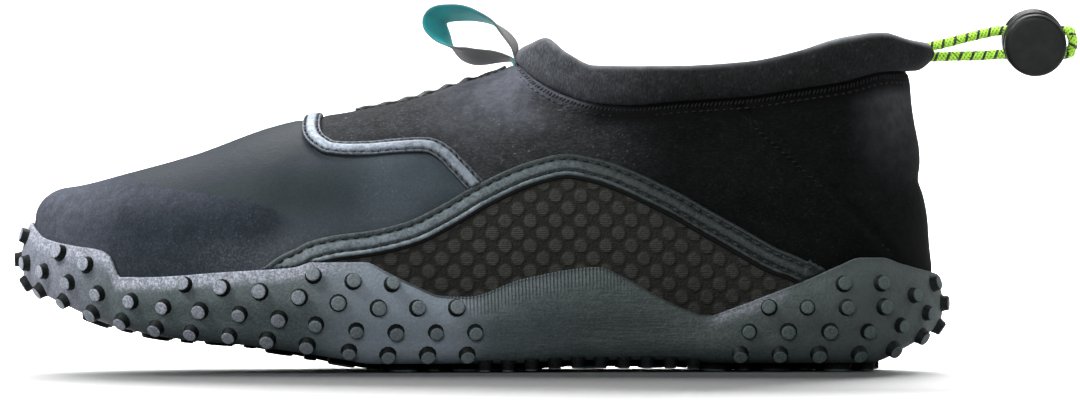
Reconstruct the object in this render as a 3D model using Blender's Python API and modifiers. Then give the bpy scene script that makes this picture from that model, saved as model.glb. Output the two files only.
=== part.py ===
"""Left water shoe: neoprene upper in a studded rubber cup sole, with trims, a pull loop and a drawcord.

The toe points to -X, the outer (lateral) side to -Y and the shoe stands on z = 0.
Upper, sole and overlays all follow one last, whose sections are shares of the named sizes.
"""

import math

import bmesh
import bpy
from mathutils import Matrix, Vector

MM = 0.001

# The last: the outer face of the upper
LAST_LENGTH = 264.3 * MM
BALL_WIDTH = 92.0 * MM
INSTEP_HEIGHT = 90.0 * MM
TOE_SPRING = 19.4 * MM
TOE_ROUND_LENGTH = 74.0 * MM
TOE_ROUND_POWER = 2.3
HEEL_ROUND_LENGTH = 46.0 * MM
HEEL_ROUND_POWER = 2.2
NOSE_LENGTH = 9.5 * MM
NOSE_DROP = 8.2 * MM
TOE_LEAN = 0.6 * MM
HEEL_LEAN = 6.9 * MM
HEEL_LEAN_FROM = 31.0 * MM
HEEL_LEAN_RISE = 55.0 * MM
HEEL_LEAN_POWER = 0.95
TUCK = 0.06
THROAT = 0.539
WIDEST_GIRTH = 0.75

# Walls and clearances
GAP = 0.3 * MM
UPPER_WALL = 2.6 * MM
CUP_WALL = 3.4 * MM
INSOLE_THICKNESS = 3.0 * MM
SOLE_THICKNESS = 7.0 * MM
HEEL_STEP = 2.0 * MM
LUG_DEPTH = 2.6 * MM
RUBBER_HEIGHT = 33.2 * MM

# Studs on the side of the sole, and lugs under it
STUD_RADIUS = 2.4 * MM
STUD_TOP_RADIUS = 1.7 * MM
STUD_HEIGHT = 2.1 * MM
STUD_PITCH = 11.5 * MM
STUD_SIDES = 4
LUG_SIDES = 6
STUD_ROW_HEIGHTS = (2.8 * MM, 9.3 * MM, 16.2 * MM, 23.0 * MM)
STUD_EDGE_MARGIN = 2.6 * MM
STUDS_FRONT_END = 0.50
STUDS_REAR_START = 0.775
LUG_RADIUS = 4.6 * MM
LUG_TOP_RADIUS = 3.9 * MM
LUG_PITCH = 18.0 * MM
LUG_MARGIN = 7.0 * MM
LUGS_END = 0.95
SINK = 1.0 * MM

# Overlays
TRIM_LIFT = 1.1 * MM
VAMP_TRIM_HALF = 2.7 * MM
ARCH_TRIM_HALF = 3.4 * MM
MESH_THICKNESS = 0.5 * MM
SEAM_HALF = 2.2 * MM
SEAM_THICKNESS = 0.8 * MM
SEAM_PUCKER = 1.0 * MM
SEAM_PITCH = 6.0 * MM

# Collar band: a rolled tunnel for the cord, with a beak behind the heel
BAND_THICKNESS = 5.0 * MM
BEAK_REACH = 6.2 * MM
BEAK_SPREAD = 9.0 * MM
FRONT_LEAN = 3.2 * MM

# Pull loop
LOOP_LENGTH = 26.0 * MM
LOOP_HEIGHT = 13.0 * MM
LOOP_RIBBON_WIDTH = 10.0 * MM
LOOP_RIBBON_THICKNESS = 1.2 * MM
LOOP_SEAT = 0.4 * MM

# Drawcord and its lock
CORD_DIAMETER = 2.9 * MM
CORD_SPACING = 7.0 * MM
LOCK_X = 162.2 * MM
LOCK_Z = 96.2 * MM
LOCK_DIAMETER = 18.6 * MM
LOCK_DEPTH = 9.7 * MM
LOCK_NEAR_WALL = 3.2 * MM
BUTTON_DIAMETER = 18.2 * MM
BUTTON_THICKNESS = 3.4 * MM
BUTTON_GAP = 2.8 * MM
STEM_DIAMETER = 3.4 * MM
STEM_REACH = 2.5 * MM
LOCK_TILT = math.radians(8)
LOCK_SIDES = 18


class Table:
    """Rows of named columns, read along the shoe with a curve that never overshoots its rows."""

    def __init__(self, columns, rows):
        self.columns = dict(zip(columns, zip(*rows)))

    def at(self, name, along):
        xs = self.columns["along"]
        ys = self.columns[name]
        if along <= xs[0]:
            return ys[0]
        if along >= xs[-1]:
            return ys[-1]
        i = next(k for k in range(1, len(xs)) if along <= xs[k]) - 1
        step = xs[i + 1] - xs[i]
        t = (along - xs[i]) / step
        start = self.slope(xs, ys, i) * step
        end = self.slope(xs, ys, i + 1) * step
        rise = ys[i + 1] - ys[i]
        return ys[i] + start * t + (3 * rise - 2 * start - end) * t**2 + (start + end - 2 * rise) * t**3

    @staticmethod
    def slope(xs, ys, i):
        if i == 0 or i == len(xs) - 1:
            j = max(i - 1, 0)
            return (ys[j + 1] - ys[j]) / (xs[j + 1] - xs[j])
        before = (ys[i] - ys[i - 1]) / (xs[i] - xs[i - 1])
        after = (ys[i + 1] - ys[i]) / (xs[i + 1] - xs[i])
        if before * after <= 0:
            return 0.0
        return 2 * before * after / (before + after)


# Sections of the last. Widths are shares of the ball width, crest of the instep height,
# widest says how far up from the footbed the section is widest.
SECTIONS = Table(
    ("along", "centre", "lateral", "medial", "widest", "crest", "fullness"),
    (
        (0.000, 0.100, 0.43, 0.42, 0.34, 0.583, 2.40),
        (0.050, 0.085, 0.45, 0.44, 0.32, 0.602, 2.40),
        (0.100, 0.070, 0.47, 0.46, 0.30, 0.638, 2.35),
        (0.180, 0.045, 0.50, 0.475, 0.26, 0.702, 2.30),
        (0.270, 0.022, 0.53, 0.49, 0.24, 0.795, 2.20),
        (0.330, 0.012, 0.535, 0.48, 0.22, 0.832, 2.10),
        (0.400, 0.004, 0.50, 0.44, 0.20, 0.868, 2.00),
        (0.470, 0.000, 0.455, 0.40, 0.18, 0.925, 1.95),
        (0.539, 0.000, 0.42, 0.375, 0.17, 1.000, 1.95),
        (0.600, 0.000, 0.385, 0.36, 0.16, 1.100, 2.00),
        (0.680, 0.000, 0.36, 0.345, 0.15, 1.222, 2.00),
        (0.780, 0.000, 0.345, 0.34, 0.15, 1.333, 2.00),
        (0.880, 0.000, 0.345, 0.345, 0.15, 1.422, 2.00),
        (1.000, 0.000, 0.335, 0.335, 0.15, 1.489, 2.00),
    ),
)

# Underside of the sole, as shares of the toe spring
SOLE_LINE = Table(
    ("along", "rise"),
    (
        (0.000, 1.06),
        (0.035, 0.85),
        (0.090, 0.56),
        (0.165, 0.366),
        (0.245, 0.27),
        (0.350, 0.07),
        (0.385, 0.0),
        (0.530, 0.0),
        (0.610, 0.045),
        (0.700, 0.045),
        (0.770, 0.0),
        (0.930, 0.0),
        (0.975, 0.22),
        (1.000, 0.42),
    ),
)

# Wavy top edge of the rubber, as shares of the rubber height
RUBBER_EDGE = Table(
    ("along", "height"),
    (
        (0.000, 1.307),
        (0.020, 1.166),
        (0.052, 1.105),
        (0.082, 1.069),
        (0.095, 1.015),
        (0.107, 0.831),
        (0.133, 0.831),
        (0.223, 0.877),
        (0.298, 0.919),
        (0.318, 0.964),
        (0.374, 0.964),
        (0.397, 0.883),
        (0.429, 0.759),
        (0.457, 0.672),
        (0.485, 0.663),
        (0.548, 0.822),
        (0.627, 0.919),
        (0.659, 0.822),
        (0.690, 0.681),
        (0.722, 0.557),
        (0.750, 0.494),
        (0.772, 0.548),
        (0.811, 0.663),
        (0.861, 0.822),
        (0.891, 0.928),
        (0.917, 1.000),
        (0.940, 1.000),
        (0.960, 0.946),
        (1.000, 0.858),
    ),
)

# Outer face of the cup: height up the wall, and how far it stands out, in cup walls
CUP_PROFILE = ((0.0, -0.70), (0.10, 0.35), (0.28, 0.88), (0.50, 1.0), (0.80, 0.74), (1.0, 0.38))

# Seam under the collar band and the top of the band, as shares of the instep height
TOPLINE = Table(
    ("along", "seam", "top"),
    (
        (0.539, 1.000, 1.060),
        (0.560, 0.941, 1.080),
        (0.5925, 0.890, 1.032),
        (0.6235, 0.864, 0.990),
        (0.667, 0.856, 0.987),
        (0.722, 0.869, 0.988),
        (0.807, 0.885, 1.002),
        (0.8645, 0.908, 1.034),
        (0.921, 0.932, 1.080),
        (0.971, 0.966, 1.098),
        (1.000, 0.972, 1.070),
    ),
)

# Centre lines of the trims, as seen from the side
VAMP_TRIM = (
    (0.314, 0.773),
    (0.328, 0.730),
    (0.345, 0.717),
    (0.371, 0.716),
    (0.406, 0.724),
    (0.440, 0.728),
    (0.459, 0.704),
    (0.474, 0.662),
    (0.484, 0.632),
)
ARCH_TRIM = Table(
    ("along", "height"),
    (
        (0.318, 0.410),
        (0.378, 0.422),
        (0.4225, 0.453),
        (0.467, 0.516),
        (0.500, 0.572),
        (0.5614, 0.646),
        (0.5947, 0.666),
        (0.6247, 0.652),
        (0.7068, 0.554),
        (0.7446, 0.492),
        (0.7834, 0.428),
        (0.8168, 0.372),
        (0.8445, 0.337),
    ),
)
MESH_START = 0.330
MESH_END = 0.815
SEAM_START = 0.360
SEAM_END = 0.528

# Ribbon of the pull loop: forward of its base, above its base, and turn of its face
LOOP_FOLDS = (
    (0.03, 0.02, 0),
    (0.18, -0.02, 12),
    (0.42, -0.02, 24),
    (0.64, 0.05, 24),
    (0.80, 0.28, 20),
    (0.94, 0.58, 22),
    (0.985, 0.80, 26),
    (0.90, 0.96, 24),
    (0.72, 1.03, 20),
    (0.50, 0.99, 14),
    (0.30, 0.84, 9),
    (0.14, 0.58, 4),
    (0.03, 0.22, 0),
)


def smooth(t):
    t = min(max(t, 0.0), 1.0)
    return t * t * (3 - 2 * t)


def tip_round(distance, length, power):
    if distance >= length:
        return 1.0
    return (1 - (1 - max(distance, 0.0) / length) ** power) ** (1 / power)


def half_width(along, side):
    name = "lateral" if side < 0 else "medial"
    toe = tip_round(along * LAST_LENGTH, TOE_ROUND_LENGTH, TOE_ROUND_POWER)
    heel = tip_round((1 - along) * LAST_LENGTH, HEEL_ROUND_LENGTH, HEEL_ROUND_POWER)
    return SECTIONS.at(name, along) * BALL_WIDTH * toe * heel


def sole_line(along):
    return LUG_DEPTH + TOE_SPRING * SOLE_LINE.at("rise", along)


def footbed(along):
    return sole_line(along) + SOLE_THICKNESS + HEEL_STEP * smooth((along - 0.45) / 0.35)


def rubber_edge(along):
    return RUBBER_HEIGHT * RUBBER_EDGE.at("height", along)


def crest(along):
    nose = tip_round(along * LAST_LENGTH, NOSE_LENGTH, 2.0)
    return INSTEP_HEIGHT * SECTIONS.at("crest", along) - NOSE_DROP * (1 - nose)


def widest_height(along):
    low = footbed(along)
    return low + SECTIONS.at("widest", along) * (crest(along) - low)


def lean(along, height):
    """Shift along X that tips the nose back and the heel counter forward, higher up."""
    low = widest_height(along)
    nose = max(height - low, 0.0) / (crest(along) - low)
    toe = TOE_LEAN * nose * (1 - smooth(along / 0.15))
    rise = max(height - HEEL_LEAN_FROM, 0.0) / HEEL_LEAN_RISE
    return toe - HEEL_LEAN * rise**HEEL_LEAN_POWER * smooth((along - 0.6) / 0.4)


def last_point(turn, side, height):
    """Point of the last at a height. turn runs from 0 at the toe to 1 at the heel, closer at both tips."""
    if turn < 0:
        turn, side = -turn, -side
    if turn > 1:
        turn, side = 2 - turn, -side
    along = (1 - math.cos(math.pi * turn)) / 2
    low, middle, top = footbed(along), widest_height(along), crest(along)
    power = SECTIONS.at("fullness", along)
    if height > middle:
        spread = max(1 - min((height - middle) / (top - middle), 1.0) ** power, 0.0) ** (1 / power)
    else:
        spread = 1 - TUCK * min((middle - height) / (middle - low), 1.0) ** 2
    x = (along - 0.5) * LAST_LENGTH + lean(along, height)
    y = SECTIONS.at("centre", along) * BALL_WIDTH + side * half_width(along, side) * spread
    return Vector((x, y, height))


def turn_of(along):
    return math.acos(1 - 2 * min(max(along, 0.0), 1.0)) / math.pi


def along_of(turn):
    return (1 - math.cos(math.pi * turn)) / 2


def height_at(along, girth):
    """Height on the last: girth is 0 on the crest, 0.75 where the section is widest, 1 at the footbed."""
    low, middle, top = footbed(along), widest_height(along), crest(along)
    up = abs(girth)
    if up >= WIDEST_GIRTH:
        return middle - (middle - low) * (up - WIDEST_GIRTH) / (1 - WIDEST_GIRTH)
    angle = math.pi / 2 * (1 - up / WIDEST_GIRTH)
    return middle + (top - middle) * math.sin(angle) ** (2 / SECTIONS.at("fullness", along))


def girth_at(along, height):
    low, middle, top = footbed(along), widest_height(along), crest(along)
    if height <= middle:
        return WIDEST_GIRTH + (1 - WIDEST_GIRTH) * (middle - height) / (middle - low)
    ratio = min((height - middle) / (top - middle), 1.0)
    angle = math.asin(ratio ** (SECTIONS.at("fullness", along) / 2))
    return WIDEST_GIRTH * (1 - angle / (math.pi / 2))


def skin_point(turn, girth):
    if turn < 0:
        turn, girth = -turn, -girth
    if turn > 1:
        turn, girth = 2 - turn, -girth
    side = -1 if girth < 0 else 1
    return last_point(turn, side, height_at(along_of(turn), girth))


def skin_slopes(turn, girth):
    step = 0.002
    forward = (skin_point(turn + step, girth) - skin_point(turn - step, girth)) / (2 * step)
    around = (skin_point(turn, girth + step) - skin_point(turn, girth - step)) / (2 * step)
    return forward, around


def skin(turn, girth, lift=0.0):
    """Point on the upper's outer face, lifted along its normal. Lateral girths are negative."""
    forward, around = skin_slopes(turn, girth)
    return skin_point(turn, girth) + forward.cross(around).normalized() * lift


def level_point(turn, side, height, out):
    """Point of the last moved level and square to its outline."""
    step = 0.004
    ahead = last_point(turn + step, side, height) - last_point(turn - step, side, height)
    normal = Vector((-ahead.y, ahead.x, 0.0)).normalized() * side
    return last_point(turn, side, height) + normal * out


def cup_face(turn, side, up):
    """Point on the outer face of the rubber: up is 0 at its bottom edge and 1 at its top edge."""
    along = along_of(min(max(turn, 0.0), 1.0))
    out = CUP_PROFILE[-1][1]
    for (low, first), (high, second) in zip(CUP_PROFILE, CUP_PROFILE[1:]):
        if up <= high:
            out = first + (second - first) * (up - low) / (high - low)
            break
    bottom = sole_line(along)
    return level_point(turn, side, bottom + (rubber_edge(along) - bottom) * up, out * CUP_WALL)


def spaced_turns(marks, tip_share, tip_steps, longest):
    """Stations from toe to heel: close at both tips, and through each mark between them."""
    tips = [tip_share * (1 - math.cos(math.pi / 2 * k / tip_steps)) for k in range(tip_steps + 1)]
    knots = tips + [m for m in marks if tip_share < m < 1 - tip_share] + [1 - t for t in reversed(tips)]
    alongs = [knots[0]]
    for knot in knots[1:]:
        count = max(1, math.ceil((knot - alongs[-1]) / longest - 1e-6))
        start = alongs[-1]
        alongs += [start + (knot - start) * (k + 1) / count for k in range(count)]
    return [turn_of(a) for a in alongs]


def around_shoe(turns):
    """The stations once around: lateral side from toe to heel, then medial side back."""
    return [(t, -1) for t in turns] + [(t, 1) for t in reversed(turns[1:-1])]


def mesh_object(name, points, faces, material):
    mesh = bpy.data.meshes.new(name)
    mesh.from_pydata([tuple(p) for p in points], [], faces)
    shape = bmesh.new()
    shape.from_mesh(mesh)
    bmesh.ops.remove_doubles(shape, verts=shape.verts, dist=0.02 * MM)
    bmesh.ops.recalc_face_normals(shape, faces=shape.faces)
    shape.to_mesh(mesh)
    shape.free()
    mesh.materials.append(material)
    mesh.shade_smooth()
    mesh.set_sharp_from_angle(angle=math.radians(40))
    part = bpy.data.objects.new(name, mesh)
    SHOE.objects.link(part)
    return part


def ring_solid(name, rings, material):
    """A solid whose rings run around the shoe; the first and the last are closed straight across."""
    count = len(rings[0])
    points = [p for ring in rings for p in ring]
    faces = []
    for r in range(len(rings) - 1):
        for j in range(count):
            k = (j + 1) % count
            faces.append((r * count + j, r * count + k, (r + 1) * count + k, (r + 1) * count + j))
    half = count // 2
    for base in (0, (len(rings) - 1) * count):
        for j in range(half):
            across = [base + j, base + j + 1, base + (count - j - 1) % count, base + (count - j) % count]
            faces.append(tuple(dict.fromkeys(across)))
    return mesh_object(name, points, faces, material)


def slab(name, lower, upper, material, closed=False):
    """A solid between two grids of points that lie face to face; closed joins its last row to its first."""
    rows, columns = len(lower), len(lower[0])
    points = [p for row in lower for p in row] + [p for row in upper for p in row]
    size = rows * columns
    faces = []
    spans = rows if closed else rows - 1
    for i in range(spans):
        for j in range(columns - 1):
            a, b = i * columns + j, (i + 1) % rows * columns + j
            faces.append((a, a + 1, b + 1, b))
            faces.append((size + a, size + b, size + b + 1, size + a + 1))
        for j in (0, columns - 1):
            a, b = i * columns + j, (i + 1) % rows * columns + j
            faces.append((a, b, size + b, size + a))
    for i in () if closed else (0, rows - 1):
        for j in range(columns - 1):
            a = i * columns + j
            faces.append((a, a + 1, size + a + 1, size + a))
    return mesh_object(name, points, faces, material)


def principled(name, colour, roughness):
    material = bpy.data.materials.new(name)
    material.use_nodes = True
    shader = material.node_tree.nodes["Principled BSDF"]
    shader.inputs["Base Color"].default_value = (*colour, 1.0)
    shader.inputs["Roughness"].default_value = roughness
    shader.inputs["Metallic"].default_value = 0.0
    return material


def curve_through(points, count):
    """Evenly counted points on a Catmull-Rom curve through a few chosen ones."""
    result = []
    spans = len(points) - 1
    for k in range(count):
        place = spans * k / (count - 1)
        i = min(int(place), spans - 1)
        t = place - i
        p1, p2 = points[i], points[i + 1]
        p0 = points[i - 1] if i else p1
        p3 = points[i + 2] if i + 2 <= spans else p2
        result.append(
            tuple(
                b + 0.5 * t * (c - a + t * (2 * a - 5 * b + 4 * c - d + t * (3 * (b - c) + d - a)))
                for a, b, c, d in zip(p0, p1, p2, p3)
            )
        )
    return result


def stud_shape(shape, sides, point, normal, base, top, height):
    """One stud or lug, sunk a little into the rubber."""
    turned = normal.to_track_quat("Z", "X").to_matrix().to_4x4()
    centre = point + normal * (height - SINK) / 2
    bmesh.ops.create_cone(
        shape,
        cap_ends=True,
        segments=sides,
        radius1=base,
        radius2=top,
        depth=height + SINK,
        matrix=Matrix.Translation(centre) @ turned,
    )


def stud_normal(turn, side, up):
    ahead = cup_face(turn + 0.004, side, up) - cup_face(turn - 0.004, side, up)
    upward = cup_face(turn, side, up + 0.03) - cup_face(turn, side, max(up - 0.03, 0.0))
    return ahead.cross(upward).normalized() * -side


def side_studs(shape):
    """Staggered rows of studs around the forefoot and around the heel, evenly spaced in each row."""
    steps = 400
    line = [(k / steps, -1) for k in range(steps)] + [(1 - k / steps, 1) for k in range(steps)]
    for row, rise in enumerate(STUD_ROW_HEIGHTS):
        places = []
        for turn, side in line:
            along = along_of(turn)
            bottom, edge = sole_line(along), rubber_edge(along)
            places.append(cup_face(turn, side, min(rise / (edge - bottom), 1.0)))
        lengths = [(b - a).length for a, b in zip(places, places[1:] + places[:1])]
        pitch = sum(lengths) / round(sum(lengths) / STUD_PITCH)
        travelled = pitch * (0.25 + 0.5 * (row % 2))
        for (turn, side), place, length in zip(line, places, lengths):
            travelled += length
            if travelled < pitch:
                continue
            travelled -= pitch
            along = along_of(turn)
            bottom, edge = sole_line(along), rubber_edge(along)
            in_zone = along < STUDS_FRONT_END or along > STUDS_REAR_START
            if not in_zone or bottom + rise > edge - STUD_EDGE_MARGIN:
                continue
            normal = stud_normal(turn, side, rise / (edge - bottom))
            stud_shape(shape, STUD_SIDES, place, normal, STUD_RADIUS, STUD_TOP_RADIUS, STUD_HEIGHT)


def lug_places():
    """Places of the lugs under the sole, as along and Y, in staggered rows."""
    places = []
    count = int(LAST_LENGTH / LUG_PITCH)
    for row in range(1, count):
        along = (row + 0.1) * LUG_PITCH / LAST_LENGTH
        if along > LUGS_END:
            continue
        middle = SECTIONS.at("centre", along) * BALL_WIDTH
        room = min(half_width(along, -1), half_width(along, 1)) - LUG_MARGIN - LUG_RADIUS
        lugs = int(2 * room / LUG_PITCH) + 1
        lugs -= (lugs + row) % 2
        for k in range(max(lugs, 1)):
            places.append((along, middle + (k - (lugs - 1) / 2) * LUG_PITCH))
    return places


def bottom_lugs(shape):
    for along, y in lug_places():
        step = 0.01
        slope = (sole_line(along + step) - sole_line(along - step)) / (2 * step * LAST_LENGTH)
        down = Vector((slope, 0.0, -1.0)).normalized()
        point = Vector(((along - 0.5) * LAST_LENGTH, y, sole_line(along)))
        stud_shape(shape, LUG_SIDES, point, down, LUG_RADIUS, LUG_TOP_RADIUS, LUG_DEPTH)


def add_outsole(material):
    turns = spaced_turns(RUBBER_EDGE.columns["along"], 0.05, 6, 0.036)
    line = around_shoe(turns)
    rings = [[cup_face(turn, side, up) for turn, side in line] for up, _ in CUP_PROFILE]
    for up in (0.995, 0.66, 0.33, 0.0):
        ring = []
        for turn, side in line:
            along = along_of(turn)
            low = footbed(along)
            ring.append(level_point(turn, side, low + (rubber_edge(along) - low) * up, GAP))
        rings.append(ring)
    outsole = ring_solid("outsole", rings, material)
    shape = bmesh.new()
    side_studs(shape)
    bottom_lugs(shape)
    mesh = bpy.data.meshes.new("outsole_studs")
    shape.to_mesh(mesh)
    shape.free()
    studs = bpy.data.objects.new("outsole_studs", mesh)
    CUTTERS.objects.link(studs)
    studs.hide_render = True
    studs.display_type = "WIRE"
    union = outsole.modifiers.new("studs", "BOOLEAN")
    union.operation = "UNION"
    union.solver = "EXACT"
    union.object = studs
    return outsole


def add_upper(material):
    """The upper: one open skin with a throat and an open foot, thickened inwards."""
    turns = spaced_turns((THROAT, THROAT + 0.008), 0.05, 5, 0.041)
    points, faces, index = [], [], {}
    levels = (1.0, 0.875, WIDEST_GIRTH)
    steps = 5
    for i, turn in enumerate(turns):
        along = along_of(turn)
        closed = along <= THROAT + 1e-6
        end = 0.0 if closed else girth_at(along, TOPLINE.at("seam", along) * INSTEP_HEIGHT)
        girths = list(levels) + [WIDEST_GIRTH + (end - WIDEST_GIRTH) * (k + 1) / steps for k in range(steps)]
        for side in (-1, 1):
            for j, girth in enumerate(girths):
                point = skin_point(turn, side * girth)
                if j == 0:
                    point.z += GAP
                index[i, side, j] = len(points)
                points.append(point)
    rows = len(levels) + steps
    for i in range(len(turns) - 1):
        for side in (-1, 1):
            for j in range(rows - 1):
                faces.append(
                    (index[i, side, j], index[i + 1, side, j], index[i + 1, side, j + 1], index[i, side, j + 1])
                )
    upper = mesh_object("upper", points, faces, material)
    wall = upper.modifiers.new("wall", "SOLIDIFY")
    wall.thickness = UPPER_WALL
    wall.offset = -1.0
    wall.use_even_offset = True
    return upper


def add_insole(material):
    turns = spaced_turns((), 0.05, 4, 0.05)
    line = around_shoe(turns)
    inset = -(UPPER_WALL + 2 * GAP)
    rings = []
    for lift in (GAP, GAP + INSOLE_THICKNESS):
        rings.append([level_point(t, s, footbed(along_of(t)) + lift, inset) for t, s in line])
    return ring_solid("insole", rings, material)


def ribbon(name, path, half, profile, material):
    """A raised strip laid on the upper: path in turn and girth, profile as across and thickness."""
    lower, upper = [], []
    for i, (turn, girth) in enumerate(path):
        before, after = path[max(i - 1, 0)], path[min(i + 1, len(path) - 1)]
        forward, around = skin_slopes(turn, girth)
        heading = forward * (after[0] - before[0]) + around * (after[1] - before[1])
        across = forward.cross(around).normalized().cross(heading.normalized())
        ff, fa, aa = forward.dot(forward), forward.dot(around), around.dot(around)
        cf, ca = across.dot(forward), across.dot(around)
        scale = ff * aa - fa * fa
        d_turn, d_girth = (cf * aa - ca * fa) / scale, (ca * ff - cf * fa) / scale
        lower.append([skin(turn + d_turn * half * c, girth + d_girth * half * c, GAP) for c, _ in profile])
        upper.append([skin(turn + d_turn * half * c, girth + d_girth * half * c, GAP + h) for c, h in profile])
    return slab(name, lower, upper, material)


def trim_profile(thickness):
    return ((-1.0, 0.45 * thickness), (-0.5, thickness), (0.5, thickness), (1.0, 0.45 * thickness))


def add_vamp_trim(material):
    """One strip over the instep, from the arch trim of one side to that of the other."""
    side_path = []
    for along, height in VAMP_TRIM:
        side_path.append((turn_of(along), girth_at(along, height * INSTEP_HEIGHT)))
    points = [(t, -g) for t, g in reversed(side_path)] + [(side_path[0][0], 0.0)] + side_path
    path = curve_through(points, 31)
    return ribbon("vamp_trim", path, VAMP_TRIM_HALF, trim_profile(TRIM_LIFT), material)


def arch_height(along):
    """Height of the arch trim's centre line, kept clear of the rubber where the two come close."""
    edge = max(rubber_edge(along + step) for step in (-0.012, -0.006, 0.0, 0.006, 0.012))
    return max(ARCH_TRIM.at("height", along) * INSTEP_HEIGHT, edge + ARCH_TRIM_HALF + 4 * GAP)


def add_arch_trim(name, side, material):
    steps = 19
    first, last = ARCH_TRIM.columns["along"][0], ARCH_TRIM.columns["along"][-1]
    path = []
    for k in range(steps + 1):
        along = first + (last - first) * k / steps
        path.append((turn_of(along), side * girth_at(along, arch_height(along))))
    return ribbon(name, path, ARCH_TRIM_HALF, trim_profile(TRIM_LIFT), material)


def add_mesh_panel(name, side, material):
    """Thin panel between the arch trim and the wave of the rubber."""
    steps, levels = 13, 3
    lower, upper = [], []
    for k in range(steps + 1):
        along = MESH_START + (MESH_END - MESH_START) * k / steps
        slope = arch_height(along + 0.01) - arch_height(along - 0.01)
        tilt = math.hypot(slope / (0.02 * LAST_LENGTH), 1.0)
        high = arch_height(along) - ARCH_TRIM_HALF * tilt - 2 * GAP
        low = max(rubber_edge(along + d) for d in (-0.006, 0, 0.006)) + 2 * GAP
        high = max(high, low + 2 * GAP)
        girths = [girth_at(along, low + (high - low) * j / levels) * side for j in range(levels + 1)]
        lower.append([skin(turn_of(along), g, GAP) for g in girths])
        upper.append([skin(turn_of(along), g, GAP + MESH_THICKNESS) for g in girths])
    return slab(name, lower, upper, material)


def add_instep_seam(material):
    """Puckered raised seam along the crest of the instep."""
    length = (SEAM_END - SEAM_START) * LAST_LENGTH
    steps = round(length / SEAM_PITCH * 4)
    lower, upper = [], []
    for k in range(steps + 1):
        along = SEAM_START + (SEAM_END - SEAM_START) * k / steps
        swell = 0.5 - 0.5 * math.cos(2 * math.pi * k / 4)
        turn = turn_of(along)
        width = skin_slopes(turn, 0.0)[1].length
        reach = SEAM_HALF * (0.75 + 0.25 * swell) / width
        shares = (-1.0, 0.0, 1.0)
        lifts = (0.5, 1.0, 0.5)
        thick = [GAP + (SEAM_THICKNESS + SEAM_PUCKER * swell) * t for t in lifts]
        lower.append([skin(turn, reach * s, GAP) for s in shares])
        upper.append([skin(turn, reach * s, t) for s, t in zip(shares, thick)])
    return slab("instep_seam", lower, upper, material)


def band_line():
    """Stations once around the collar, each with its seam point, its top height and its level normal."""
    steps = 19
    turns = [turn_of(THROAT + (1 - THROAT) * smooth(k / steps)) for k in range(steps + 1)]
    line = []
    for turn, side in around_shoe(turns):
        along = along_of(turn)
        seam = TOPLINE.at("seam", along) * INSTEP_HEIGHT
        top = TOPLINE.at("top", along) * INSTEP_HEIGHT
        line.append((last_point(turn, side, min(seam, crest(along))), seam, top, along))
    return line


def add_collar_band(material):
    """Rolled band on the topline, drawn out behind the heel into the beak that lets the cord out."""
    line = band_line()
    count = len(line)
    corners = 8
    rings = []
    for i, (point, seam, top, along) in enumerate(line):
        ahead = line[(i + 1) % count][0] - line[i - 1][0]
        out = Vector((ahead.y, -ahead.x, 0.0)).normalized()
        rear = smooth((along - 0.9) / 0.1) * math.exp(-((point.y / BEAK_SPREAD) ** 2))
        front = 1 - smooth((along - THROAT) / 0.06)
        middle = point - out * (UPPER_WALL / 2 - 0.6 * MM)
        low = seam + GAP + (1.0 * MM if front > 0.9 else 0.0)
        half = (top - low) / 2
        ring = []
        for k in range(corners):
            angle = 2 * math.pi * k / corners + math.pi / corners
            width = BAND_THICKNESS / 2 / math.cos(math.pi / corners)
            up = math.sin(angle) / math.cos(math.pi / corners)
            p = middle + out * math.cos(angle) * width
            p.z = low + half * (1 + up)
            p.x += FRONT_LEAN * front * (1 + up) / 2
            p += out * BEAK_REACH * rear * (0.6 + 0.4 * smooth((1 + up) / 1.2)) * (0.75 + 0.25 * math.cos(angle))
            ring.append(p)
        rings.append(ring)
    points = [p for ring in rings for p in ring]
    faces = []
    for i in range(count):
        for k in range(corners):
            a, b = i * corners, (i + 1) % count * corners
            m = (k + 1) % corners
            faces.append((a + k, b + k, b + m, a + m))
    return mesh_object("collar_band", points, faces, material)


def add_pull_loop(material, base):
    """Ribbon loop ahead of the collar; its face turns a little towards the lateral side on the way."""
    folds = curve_through(LOOP_FOLDS, 25)
    centres = [base + Vector((-LOOP_LENGTH * f, 0.0, LOOP_HEIGHT * u)) for f, u, _ in folds]
    lower, upper = [], []
    for i, (_, _, degrees) in enumerate(folds):
        ahead = (centres[min(i + 1, len(folds) - 1)] - centres[max(i - 1, 0)]).normalized()
        flat = Vector((0.0, 1.0, 0.0))
        face = ahead.cross(flat).normalized()
        turned = math.radians(degrees)
        wide = (flat * math.cos(turned) + face * math.sin(turned)) * LOOP_RIBBON_WIDTH / 2
        thick = ahead.cross(wide).normalized() * LOOP_RIBBON_THICKNESS / 2
        lower.append([centres[i] + wide * s - thick for s in (-1, 1)])
        upper.append([centres[i] + wide * s + thick for s in (-1, 1)])
    return slab("pull_loop", lower, upper, material)


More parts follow.
